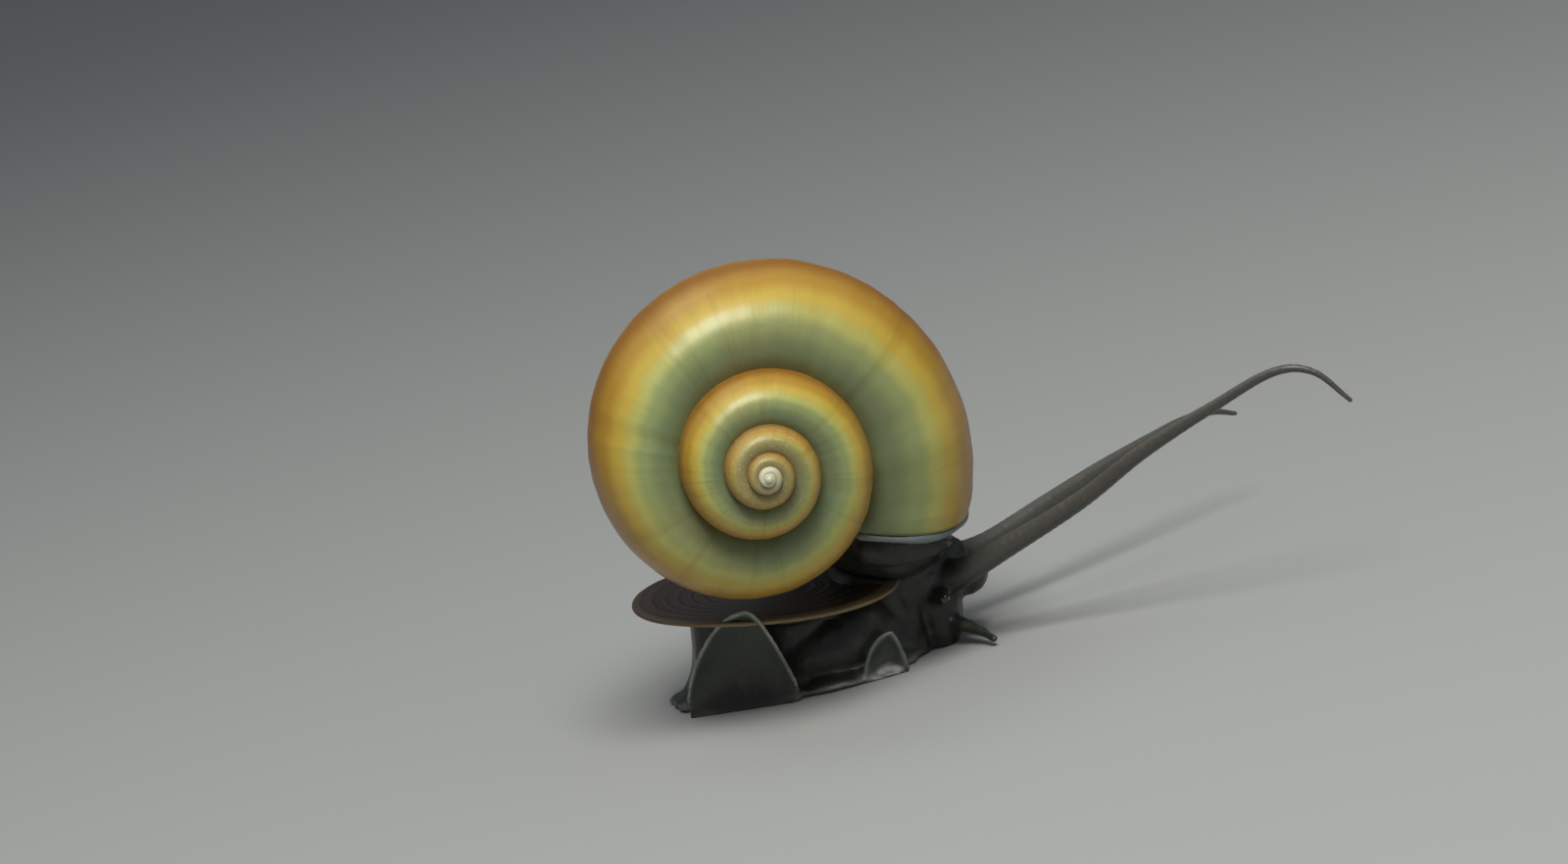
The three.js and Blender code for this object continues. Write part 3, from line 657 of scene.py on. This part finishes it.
# Rings of the plug in the shell's mouth. On the wall: how far past the lip's plane, or with a minus sign the
# growth before it, and the swell. In the dished end: how far past the plane, and the share of the outline.
MANTLE_WALL = [(-0.6, -1.1), (-0.3, -1.0), (0.0, -0.95), (0.5, -0.95), (0.8, -1.3)]
MANTLE_DISH = [(0.7, 0.94), (0.2, 0.86), (-0.5, 0.7)]
MANTLE_DISH_SWELL = -1.6
BEAD_FROM, BEAD_TO = np.radians(100), np.radians(-205)
BEAD_REACH = 0.5

# Flesh keeps FLESH_CLEARANCE from the inside of the shell's wall, measured out from the outline's middle.
FLESH_CLEARANCE = 0.25
MIDDLE_OUT, MIDDLE_DOWN = 12.0, 30.0

# Wave lengths and depths of the relief that is pressed into the skin, and the mouth's cleft.
CREASE_LENGTHS, CREASE_DEPTH = [3.1, 2.3, 4.1], 0.12
PEBBLE_LENGTHS, PEBBLE_DEPTH = [1.1, 0.9, 1.3, 1.0], 0.03
LUMP_LENGTHS, LUMP_DEPTH = [7.0, 5.0, 9.0], 0.12
MOUTH, MOUTH_DEPTH = np.array([13.0, -2.4, 1.6]), 0.5
MARGIN_HEIGHT = 0.4


def smooth_path(stations, steps):
    """Points along a smooth curve through the stations, evenly in the station count (Catmull-Rom)."""
    stations = np.asarray(stations, float)
    padded = np.concatenate([[2 * stations[0] - stations[1]], stations, [2 * stations[-1] - stations[-2]]])
    place = np.linspace(0, len(stations) - 1, steps + 1)
    start = np.minimum(place.astype(int), len(stations) - 2)
    w = (place - start)[:, None]
    a, b, c, d = padded[start], padded[start + 1], padded[start + 2], padded[start + 3]
    return 0.5 * (2 * b + (c - a) * w + (2 * a - 5 * b + 4 * c - d) * w**2 + (3 * b - a - 3 * c + d) * w**3)


def limb(stations, steps, sides, sideways=(0.0, 1.0, 0.0), blunt=0.0, least=0.0):
    """Oval rings across a smooth path through the stations, with rounded ends.

    The half width lies along sideways, and the half height across it. Neither is less than least.
    """
    path = smooth_path(stations, steps)
    at, wide, high = path[:, :3], np.maximum(path[:, 3:4], least), np.maximum(path[:, -1:], least)
    along = np.gradient(at, axis=0)
    along /= np.linalg.norm(along, axis=1, keepdims=True)
    side = np.asarray(sideways) - (along @ np.asarray(sideways))[:, None] * along
    side /= np.linalg.norm(side, axis=1, keepdims=True)
    upward = np.cross(along, side)
    turn = np.linspace(0, 2 * np.pi, sides, endpoint=False)
    rings = (
        at[:, None]
        + (side * wide)[:, None] * np.cos(turn)[None, :, None]
        + (upward * high)[:, None] * np.sin(turn)[None, :, None]
    )
    quarter = np.linspace(0, np.pi / 2, 5)[1:, None, None]
    bulge, narrow = np.sin(quarter), 0.02 + 0.98 * np.cos(quarter)
    reach = np.minimum(wide, high) * (1 - blunt)
    front = at[-1] + (rings[-1] - at[-1]) * narrow + along[-1] * reach[-1] * bulge
    back = at[0] + (rings[0] - at[0]) * narrow - along[0] * reach[0] * bulge
    return np.concatenate([back[::-1], rings, front])


def within_bays(turn, bays):
    """The share of an outline's reach that is left where bays, as bell curves over direction, draw it in."""
    left = np.ones_like(turn)
    for bay in bays:
        left = left - bay["depth"] * np.exp(-(((np.degrees(turn) - bay["toward"]) / bay["spread"]) ** 2))
    return left


def foot_outline(turn):
    """The sole from above: superellipse halves, blunt in front, drawn in where the right margin curls up."""
    cos, sin = np.cos(turn), np.sin(turn)
    reach = np.where(cos >= 0, FOOT_FRONT, -FOOT_REAR)
    power = np.where(cos >= 0, 2.8, 2.1)
    inward = within_bays(turn, SOLE_BAYS)
    return np.stack(
        [
            np.sign(cos) * reach * np.abs(cos) ** (2 / power) * inward,
            np.sign(sin) * FOOT_HALF_WIDTH * np.abs(sin) ** (2 / power) * inward,
        ],
        -1,
    )


def foot():
    """Rings up from the sole: the outline times a share, at a height, with small frills along the margin."""
    turn = np.linspace(0, 2 * np.pi, 240, endpoint=False)
    levels = np.array(FOOT_LEVELS)
    frill = 0.012 * np.sin(turn * 17 + 2 * np.sin(turn * 3)) + 0.008 * np.sin(turn * 31 + 1)
    share = levels[:, :1] + frill * (levels[:, :1] > 0.85)
    height = levels[:, 1:] * (1 + 0.12 * np.sin(turn * 11 + 1.5 * np.sin(turn * 4)))
    return np.concatenate([foot_outline(turn)[None] * share[..., None], height[..., None]], -1)


def mound():
    """The back of the foot: ovals with faint pleats, drawn in behind the fold, up to the lid's underside.

    The underside is the plane through the lid's middle, square to the lid's axis, less the lid's thickness.
    """
    turn = np.linspace(0, 2 * np.pi, 120, endpoint=False)[None, :]
    level = smooth_path(MOUND_LEVELS, 24)
    rise = np.linspace(0, 1, len(level))[:, None]
    pleats = 0.02 * np.sin(turn * 11 + 2 * rise) * np.sin(np.pi * rise)
    inward = within_bays(turn, MOUND_BAYS) * (1 + pleats)
    x, y, z, long, wide = (level[:, k : k + 1] for k in range(5))
    rings = np.stack([x + long * inward * np.cos(turn), y + wide * inward * np.sin(turn), z + 0 * turn], -1)
    from_lid = rings[-1] - LID_CENTRE
    axis = turned(np.array([[0.0, 0.0, 1.0]]), LID_YAW, LID_PITCH, LID_ROLL)[0]
    under = LID_CENTRE[2] - (from_lid[:, 0] * axis[0] + from_lid[:, 1] * axis[1]) / axis[2] - LID_THICKNESS
    top = np.concatenate([rings[-1][:, :2], under[:, None]], 1)
    lowered = np.minimum(rings[..., 2], under[None, :] - 0.3)
    rings[..., 2] = np.maximum(lowered, rings[0, 0, 2])
    return np.concatenate([rings, top[None]])


def fold_point(corners, share, height):
    """A point of a curled length of margin.

    It starts on the line from rear to front corner at share, and rises by height towards the peak along
    arches that are sine powers of the share, hollowed by sin(pi share) sin(0.85 pi height) on the outside.
    """
    rear, peak, front = corners
    before = share < FOLD_PEAK
    rise = np.where(before, share / FOLD_PEAK, (1 - share) / (1 - FOLD_PEAK))
    arch = np.sin(np.clip(rise, 0, 1) * np.pi / 2) ** np.where(before, 0.75, 0.9)
    pull = np.clip(rise, 0, 1) ** np.where(before, 1.6, 1.2)
    base = rear + (front - rear) * share[..., None]
    lean = peak - (rear + (front - rear) * FOLD_PEAK)
    cup = FOLD_CUP * np.sin(np.pi * share) * np.sin(0.85 * np.pi * height)
    return np.stack(
        [
            base[..., 0] + lean[0] * pull * height,
            base[..., 1] + lean[1] * arch * height**2 + cup,
            base[..., 2] + lean[2] * arch * height - (1 - height),
        ],
        -1,
    )


def fold(corners):
    """The curled margin as a sheet: its faces lie half its thickness from the middle. It thins upwards."""
    step = 0.004
    share, height = np.meshgrid(np.linspace(0.03, 0.97, 70), np.linspace(0, 1, 36), indexing="ij")
    middle = fold_point(corners, share, height)
    slope = fold_point(corners, share + step, height) - middle
    climb = middle - fold_point(corners, share, height - step)
    normal = np.cross(slope, climb)
    normal /= np.linalg.norm(normal, axis=-1, keepdims=True)
    thick = FOLD_ROOT_THICK + (FOLD_RIM_THICK - FOLD_ROOT_THICK) * height**0.6
    half = (thick * np.where(height > 0.97, 0.75, 1.0) / 2)[..., None]
    return np.concatenate([middle + normal * half, (middle - normal * half)[:, ::-1]], 1)


def mantle():
    """The plug of flesh in the mouth of the shell, whose end is a dish inside a raised rim."""
    angle = np.linspace(0, 2 * np.pi, 120, endpoint=False)[None, :]
    rings = []
    for reach, swell in MANTLE_WALL:
        start = growth_at_lip(angle, max(reach, 0.0), swell) + min(reach, 0.0)
        rings.append(coil_point(start, angle, swell))
    for reach, share in MANTLE_DISH:
        ring = coil_point(growth_at_lip(angle, reach, MANTLE_DISH_SWELL), angle, MANTLE_DISH_SWELL)
        rings.append(ring.mean(1, keepdims=True) * (1 - share) + ring * share)
    return np.concatenate(rings)


def bead_line(places, swell):
    """Points just outside the lip, along the part of it that shows."""
    angle = np.linspace(BEAD_FROM, BEAD_TO, places)
    return coil_point(growth_at_lip(angle, BEAD_REACH, swell), angle, swell), angle


def lip_bead():
    """Rings of a thin roll of mantle that shows along the outer lip of the shell."""
    at, angle = bead_line(160, -0.55)
    thick = 0.5 + 0.1 * np.sin(angle * 7)
    return limb(np.concatenate([at, thick[:, None]], 1), 220, 12, (0.1, 0.2, 1.0))


def siphon_tube():
    """The rolled lobe as a tube with a hollow end: rings out along the outer face and back down the bore."""
    outer = limb(SIPHON, 24, 40, blunt=0.9)[:-4]
    inner = limb(SIPHON_BORE, 16, 40, blunt=0.9)[4:-4]
    return np.concatenate([outer, (outer[-1:] + inner[-1:]) / 2 + 0.06, inner[::-1]])


def eye_stalk(side):
    """A short round stalk on the outer side of the feeler's root, which ends in a collar round the eye."""
    x, y, z = EYES[side]
    inward = -np.sign(y)
    root = (x - 0.7, y + 2.4 * inward, z + 0.2, 1.15)
    end = (x - 0.1, y + 0.3 * inward, z, 0.85)
    return limb([root, end], 8, 20, blunt=0.3)


def joined_skin(forms):
    """One closed surface round all the forms, by a voxel remesh and a light smoothing."""
    points, faces, used = [], [], 0
    for rings in forms:
        faces += ring_faces(*rings.shape[:2], start=used)
        points.append(ring_points(rings))
        used += len(points[-1])
    rough = bpy.data.meshes.new("forms")
    rough.from_pydata(np.concatenate(points) * MM, [], faces)
    holder = bpy.data.objects.new("forms", rough)
    bpy.context.scene.collection.objects.link(holder)
    remesh = holder.modifiers.new("one skin", "REMESH")
    remesh.mode = "VOXEL"
    remesh.voxel_size = SKIN_VOXEL * MM
    smooth = holder.modifiers.new("soft", "SMOOTH")
    smooth.factor = 0.5
    smooth.iterations = SKIN_SMOOTHINGS
    made = bpy.data.meshes.new_from_object(holder.evaluated_get(bpy.context.evaluated_depsgraph_get()))
    bpy.data.objects.remove(holder)
    bpy.data.meshes.remove(rough)
    made.name = "skin"
    return made


def vertex_values(mesh, field):
    """The vertices' places or normals as an array."""
    values = np.empty(len(mesh.vertices) * 3, np.float32)
    if field == "normal":
        mesh.vertex_normals.foreach_get("vector", values)
    else:
        mesh.vertices.foreach_get("co", values)
    return values.reshape(-1, 3).astype(float)


def nearest_on(line, points):
    """For each point its distance from a line of points, and the index of the line's nearest point."""
    best = np.full(len(points), 1e9)
    place = np.zeros(len(points), int)
    for start in range(0, len(line), 16):
        gap = np.linalg.norm(points[:, None] - line[None, start : start + 16], axis=2)
        nearest = gap.argmin(1)
        gap = gap[np.arange(len(points)), nearest]
        place = np.where(gap < best, start + nearest, place)
        best = np.minimum(best, gap)
    return best, place


def fade(value, full, none):
    """1 where value is at full or beyond, 0 at none or beyond, and a smooth step between."""
    share = np.clip((value - none) / (full - none), 0, 1)
    return share * share * (3 - 2 * share)


def slim_feelers(points):
    """The points with the feelers drawn in to their true girth, a mask of them, and the length along each.

    A point goes to the path's radius times 1 + depth sin(2 pi length / pitch + sin(1.7 length)), from the
    nearest place of the path.
    """
    feeler = np.zeros(len(points))
    feeler_length = np.zeros(len(points))
    for stations in FEELERS.values():
        path = smooth_path(stations, FEELER_PLACES)
        gap, place = nearest_on(path[:, :3], points)
        share = place / FEELER_PLACES
        radius = path[place, 3]
        run = np.cumsum(np.linalg.norm(np.diff(path[:, :3], axis=0), axis=1))
        length = np.concatenate([[0], run])[place]
        near = fade(gap, radius * 1.5 + 0.2, radius * 1.9 + 0.6) * fade(share, 0.2, 0.09)
        spoke = (points - path[place, :3]) / np.maximum(gap, 1e-6)[:, None]
        rings = np.sin(length * 2 * np.pi / FEELER_RING_PITCH + np.sin(length * 1.7))
        ringed = 1 + FEELER_RING_DEPTH * rings * fade(radius, 0.5, 0.2)
        pulled = path[place, :3] + spoke * (radius * ringed)[:, None]
        points = points + (pulled - points) * (near * fade(share, 0.26, 0.14))[:, None]
        feeler = np.maximum(feeler, near)
        feeler_length = np.where(near > 0, length, feeler_length)
    return points, feeler, feeler_length


def kept_in_shell(points):
    """The points with the flesh behind the lip drawn in to the inside of the shell's wall.

    Each point is turned back along the coil to the outline at the lip, and drawn towards the outline's
    middle until it is inside the outline.
    """
    inward = (points - LIP_POINT) @ lip_normal()
    apart = points - APEX
    out_x, out_y, down = apart @ across, apart @ raised, -(apart @ spire)
    behind = (LIP_ANGLE - np.arctan2(out_y, out_x) + np.pi) % (2 * np.pi) - np.pi
    scale = np.exp(GROWTH * behind)
    from_out = np.hypot(out_x, out_y) / scale - MIDDLE_OUT
    from_down = down / scale - MIDDLE_DOWN
    far = np.hypot(from_out, from_down)
    ring_out, ring_down = whorl_outline(np.linspace(-np.pi, np.pi, 721), -WALL - FLESH_CLEARANCE)
    direction = np.arctan2(MIDDLE_DOWN - ring_down, ring_out - MIDDLE_OUT)
    order = np.argsort(direction)
    reach = np.hypot(ring_out - MIDDLE_OUT, ring_down - MIDDLE_DOWN)
    limit = np.interp(np.arctan2(-from_down, from_out), direction[order], reach[order], period=2 * np.pi)
    behind_lip = (inward < -0.05) & (inward > -14) & (np.abs(behind) < 1.1) & (points[:, 2] > 9)
    held = behind_lip & (far > limit) & (far < 1.35 * limit)
    shrink = limit / np.maximum(far, 1e-6)
    new_out = (MIDDLE_OUT + from_out * shrink) * scale
    new_down = (MIDDLE_DOWN + from_down * shrink) * scale
    return np.where(held[:, None], from_axis(new_out, LIP_ANGLE - behind, new_down), points)


def edge_gap(corners, places, points):
    """Each point's distance from the upper edge of a fold."""
    edge = fold_point(corners, np.linspace(0, 1, places), np.full(places, 0.98))
    return nearest_on(edge, points)[0]


def pale_rims_and_edge_light(points):
    """A mask of the folds' upper edges, the front one fainter, and of the foot's margin. In the colour these
    edges are partly the skin's paler edge and partly a painted highlight where light catches them.
    """
    turn = np.linspace(0, 2 * np.pi, 300)
    margin = np.concatenate([foot_outline(turn), np.full((300, 1), MARGIN_HEIGHT)], 1)
    rear_rim = fade(edge_gap(REAR_FOLD, 80, points), 0.12, 0.4)
    front_rim = fade(edge_gap(FRONT_FOLD, 60, points), 0.12, 0.5)
    uneven = 0.75 + 0.25 * waves(points, [3.0, 1.7], 12)
    margin_rim = fade(nearest_on(margin, points)[0], 0.2, 0.7)
    return np.maximum(np.maximum(rear_rim, 0.4 * front_rim) * uneven, 0.2 * margin_rim)


def folds_and_painted_top_light(points):
    """A mask of the folds, stronger towards their upper edges. It smooths the folds, and in the colour it
    paints light on their upper parts.
    """
    share, height = np.meshgrid(np.linspace(0.03, 0.97, 36), np.linspace(0.1, 1, 16))
    thin = np.zeros(len(points))
    for corners in (REAR_FOLD, FRONT_FOLD):
        gap, place = nearest_on(fold_point(corners, share.ravel(), height.ravel()), points)
        thin = np.maximum(thin, fade(gap, 0.7, 1.3) * fade(height.ravel()[place], 0.8, 0.15))
    return thin


def pressed(points, marks):
    """How far the skin is pressed out along its normals.

    Creases are the fold lines of a wavy field, -|field| / 2, and pebbles and lumps are finer and broader
    fields. They leave out the feelers, the rims, the collar and the sole, and the mouth is pressed in.
    """
    body = (1 - marks["feeler"]) * (1 - 0.8 * marks["rim"]) * (1 - marks["collar"])
    body = body * fade(points[:, 2], 1.2, 0.2)
    creases = -np.abs(waves(points * [1.0, 1.0, 0.45], CREASE_LENGTHS, 3)) * 0.5 + 0.15
    pebbles = waves(points, PEBBLE_LENGTHS, 5)
    lumps = waves(points, LUMP_LENGTHS, 8)
    rough = CREASE_DEPTH * creases + PEBBLE_DEPTH * pebbles + LUMP_DEPTH * lumps
    return body * (1 - 0.6 * marks["thin"]) * rough - MOUTH_DEPTH * marks["mouth"]


forms = [foot(), mound(), fold(REAR_FOLD), fold(FRONT_FOLD), mantle(), lip_bead(), siphon_tube()]
forms += [limb(NECK, 40, 90, blunt=0.6), limb(HEAD, 24, 60), limb(SNOUT, 20, 60), limb(NAPE_LOBE, 20, 30)]
forms += [limb(flank, 20, 40) for flank in [*FLANKS, SIPHON_SKIRT]]
for side in ("right", "left"):
    forms.append(limb(FEELERS[side], 150, 20, least=LEAST_GIRTH))
    forms.append(limb(PALPS[side], 30, 20, least=LEAST_GIRTH))
    forms.append(eye_stalk(side))
skin_mesh = joined_skin(forms)
points, feeler, feeler_length = slim_feelers(vertex_values(skin_mesh, "co") / MM)
points = kept_in_shell(points)
skin_mesh.vertices.foreach_set("co", (points * MM).astype(np.float32).ravel())
skin_mesh.update()

# Wrinkles, the mouth's cleft and a soft unevenness are pressed in along the normals of the smooth skin.
normal = vertex_values(skin_mesh, "normal")
worked = {
    "rim": pale_rims_and_edge_light(points),
    "thin": folds_and_painted_top_light(points),
    "collar": fade(nearest_on(bead_line(200, -0.4)[0], points)[0], 0.5, 1.3),
    "feeler": feeler,
    "length": feeler_length,
    "mouth": fade(np.linalg.norm((points - MOUTH) * [0.8, 0.6, 1.2], axis=1), 0.4, 1.5),
}
points = points + normal * pressed(points, worked)[:, None]
points[:, 2] = np.maximum(points[:, 2], 0.0)
skin_mesh.vertices.foreach_set("co", (points * MM).astype(np.float32).ravel())
for name, values in worked.items():
    skin_mesh.attributes.new(name, "FLOAT", "POINT").data.foreach_set("value", values.astype(np.float32))
skin_mesh.shade_smooth()
skin = bpy.data.objects.new("skin", skin_mesh)
bpy.context.scene.collection.objects.link(skin)


def skin_finish():
    """Charcoal with a green cast and paler mottling, reddish specks on the feelers, paler upper folds that
    are painted light, and pale edges that are partly painted highlight.
    """
    made, shader = new_material("wet_skin", 0.42)
    place = add_node(made, "ShaderNodeTexCoord").outputs["Object"]
    read = {
        name: add_node(made, "ShaderNodeAttribute", attribute_name=name).outputs["Fac"]
        for name in worked
    }
    mottle = noise(made, place, 420.0, 5.0, 0.6)
    base = screen_ramp(made, mottle, [(0.3, (30, 33, 30)), (0.5, (40, 44, 39)), (0.72, (62, 64, 56))])
    specks = mask(made, noise(made, place, 1900.0, 2.0, 0.6), 0.56, 0.64)
    red = maths(made, "MULTIPLY", specks, read["feeler"])
    grey = cover(made, base, (84, 84, 78), read["feeler"], 0.7)
    specked = cover(made, grey, (120, 82, 66), red, 0.22)
    # Painted light: the folds are paler towards their upper edges, where the light from above falls on them
    # and through the thin sheet.
    sheet = cover(made, specked, (88, 94, 86), read["thin"], 0.5)
    # The pale edges are partly the skin's own paler edge and partly a painted highlight where light catches
    # the folds' upper edges and the foot's margin.
    pale = cover(made, sheet, (190, 194, 184), read["rim"], 0.85)
    banded = cover(made, pale, (116, 126, 126), read["collar"], 0.85)
    lips = cover(made, banded, (128, 62, 58), read["mouth"], 0.7)
    made.node_tree.links.new(lips, shader.inputs["Base Color"])
    rings = maths(made, "SINE", maths(made, "MULTIPLY", read["length"], 14.0))
    grain = add_node(made, "ShaderNodeTexVoronoi", {"Vector": place, "Scale": 1500.0}).outputs["Distance"]
    ridges = maths(made, "MULTIPLY", rings, maths(made, "MULTIPLY", read["feeler"], 0.1))
    relief(made, shader, maths(made, "ADD", grain, ridges), 0.3, 0.00012)
    shader.inputs["Subsurface Weight"].default_value = 0.35
    shader.inputs["Subsurface Radius"].default_value = (1.0, 0.9, 0.75)
    shader.inputs["Subsurface Scale"].default_value = 0.0008
    shader.inputs["Coat Weight"].default_value = 0.16
    shader.inputs["Coat Roughness"].default_value = 0.25
    return made


skin.data.materials.append(skin_finish())
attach(skin, "root")
FLESH = [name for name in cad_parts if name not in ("shell", "operculum", "eye_right", "eye_left")]
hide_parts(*FLESH)


# Eyes.
# A small bead on each stalk: a black pupil behind a clear bulging cornea, inside a narrow brassy ring. It is
# part of the living skin, and looks outwards and a little ahead.
CORNEA_RISE = 0.1
PUPIL_BANDS = [
    (0.0, (6, 5, 5)),
    (0.24, (8, 7, 6)),
    (0.27, (92, 76, 46)),
    (0.32, (64, 54, 36)),
    (0.38, (26, 22, 18)),
]
RAY_TINTS = [(0.3, (0.4, 0.4, 0.4, 1)), (0.7, (1, 1, 1, 1))]


def eye_rings(centre, outward):
    """Rings of a ball from the middle of the pupil back, with the cornea raised by a cosine bump."""
    turn = np.linspace(0, 2 * np.pi, 40, endpoint=False)[None, :]
    lean = np.linspace(0.03, np.pi - 0.03, 30)[:, None]
    radius = EYE_RADIUS * (1 + CORNEA_RISE * np.clip(np.cos(lean * 1.6), 0, 1) ** 2)
    first = np.cross(outward, [0.0, 0.0, 1.0])
    first /= np.linalg.norm(first)
    second = np.cross(outward, first)
    rings = (
        (radius * np.cos(lean) + 0 * turn)[..., None] * outward
        + (radius * np.sin(lean) * np.cos(turn))[..., None] * first
        + (radius * np.sin(lean) * np.sin(turn))[..., None] * second
    )
    return centre + rings, np.stack([lean / np.pi + 0 * turn, turn / (2 * np.pi) + 0 * lean], -1)


def eye_finish():
    """A black pupil in a brassy ring with faint rays, under a clear wet coat."""
    made, shader = new_material("eye_bead", 0.08)
    where, share, _ = growth_map(made)
    rays = ramp(made, streaked(made, where, 3.0, 60.0, 2.0), RAY_TINTS)
    tinted = blend(made, 0.4, screen_ramp(made, share, PUPIL_BANDS), rays, "MULTIPLY")
    made.node_tree.links.new(tinted, shader.inputs["Base Color"])
    shader.inputs["Coat Weight"].default_value = 1.0
    shader.inputs["Coat Roughness"].default_value = 0.03
    return made


bead_finish = eye_finish()
for side, centre in EYES.items():
    outward = np.array([0.5, np.sign(centre[1]), 0.15])
    outward /= np.linalg.norm(outward)
    eye = ring_mesh(f"eye_bead_{side}", *eye_rings(centre, outward))
    eye.data.materials.append(bead_finish)
    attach(eye, "root")
    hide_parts(f"eye_{side}")


# Floor and light.
# A plain pale floor that rises into a round wall far off, under one large soft lamp above and two weaker
# ones. Places and sizes here are in metres. The floor lies a hair under the sole.
FLOOR_RADIUS, WALL_RADIUS, WALL_HEIGHT = 3.4, 4.6, 2.6
INNER_RADII = [[0.02], [0.5], [1.5]]
FLOOR_DROP = 0.00003
FLOOR_COLOUR = (0.36, 0.37, 0.36, 1.0)
LAMPS = [
    ("lamp_above", (0.04, -0.3, 0.56), 0.3, 3.5, (1.0, 0.99, 0.94)),
    ("lamp_front", (0.5, -0.6, 0.35), 0.5, 0.2, (1.0, 1.0, 1.0)),
    ("lamp_behind", (-0.25, 0.45, 0.9), 0.5, 0.9, (1.0, 1.0, 1.0)),
]
LAMP_TARGET = Vector((0.0, 0.0, 0.02))
SKY_COLOUR, SKY_STRENGTH = (0.9, 0.93, 1.0, 1.0), 0.3


def floor_rings():
    """A flat disc whose edge turns up along a quarter circle."""
    turn = np.linspace(0, 2 * np.pi, 128, endpoint=False)[None, :]
    bend = np.linspace(0, np.pi / 2, 24)[:, None]
    rise = WALL_RADIUS - FLOOR_RADIUS
    radius = np.concatenate([INNER_RADII, FLOOR_RADIUS + rise * np.sin(bend), [[WALL_RADIUS]]])
    height = np.concatenate([np.zeros((3, 1)), rise * (1 - np.cos(bend)), [[WALL_HEIGHT]]])
    return np.stack([radius * np.cos(turn), radius * np.sin(turn), height - FLOOR_DROP + 0 * turn], -1)


def floor_object():
    """The floor as one open surface that faces the animal."""
    rings = floor_rings()
    mesh = bpy.data.meshes.new("floor")
    mesh.from_pydata(ring_points(rings, False), [], ring_faces(*rings.shape[:2], capped=False))
    mesh.flip_normals()
    mesh.shade_smooth()
    made = bpy.data.objects.new("floor", mesh)
    bpy.context.scene.collection.objects.link(made)
    return made


def soft_lamp(name, place, size, power, tint):
    """A square lamp at place that faces the animal."""
    lamp = bpy.data.lights.new(name, "AREA")
    lamp.energy = power
    lamp.size = size
    lamp.color = tint
    made = bpy.data.objects.new(name, lamp)
    back = Vector(place) - LAMP_TARGET
    made.matrix_world = Matrix.Translation(place) @ back.to_track_quat("Z", "Y").to_matrix().to_4x4()
    bpy.context.scene.collection.objects.link(made)


floor = floor_object()
paint, paint_shader = new_material("floor_paint", 0.7)
paint_shader.inputs["Base Color"].default_value = FLOOR_COLOUR
floor.data.materials.append(paint)
for lamp in LAMPS:
    soft_lamp(*lamp)
world = bpy.data.worlds.new("studio")
world.use_nodes = True
world.node_tree.nodes["Background"].inputs["Color"].default_value = SKY_COLOUR
world.node_tree.nodes["Background"].inputs["Strength"].default_value = SKY_STRENGTH
bpy.context.scene.world = world
bpy.context.scene.view_settings.view_transform = "Standard"
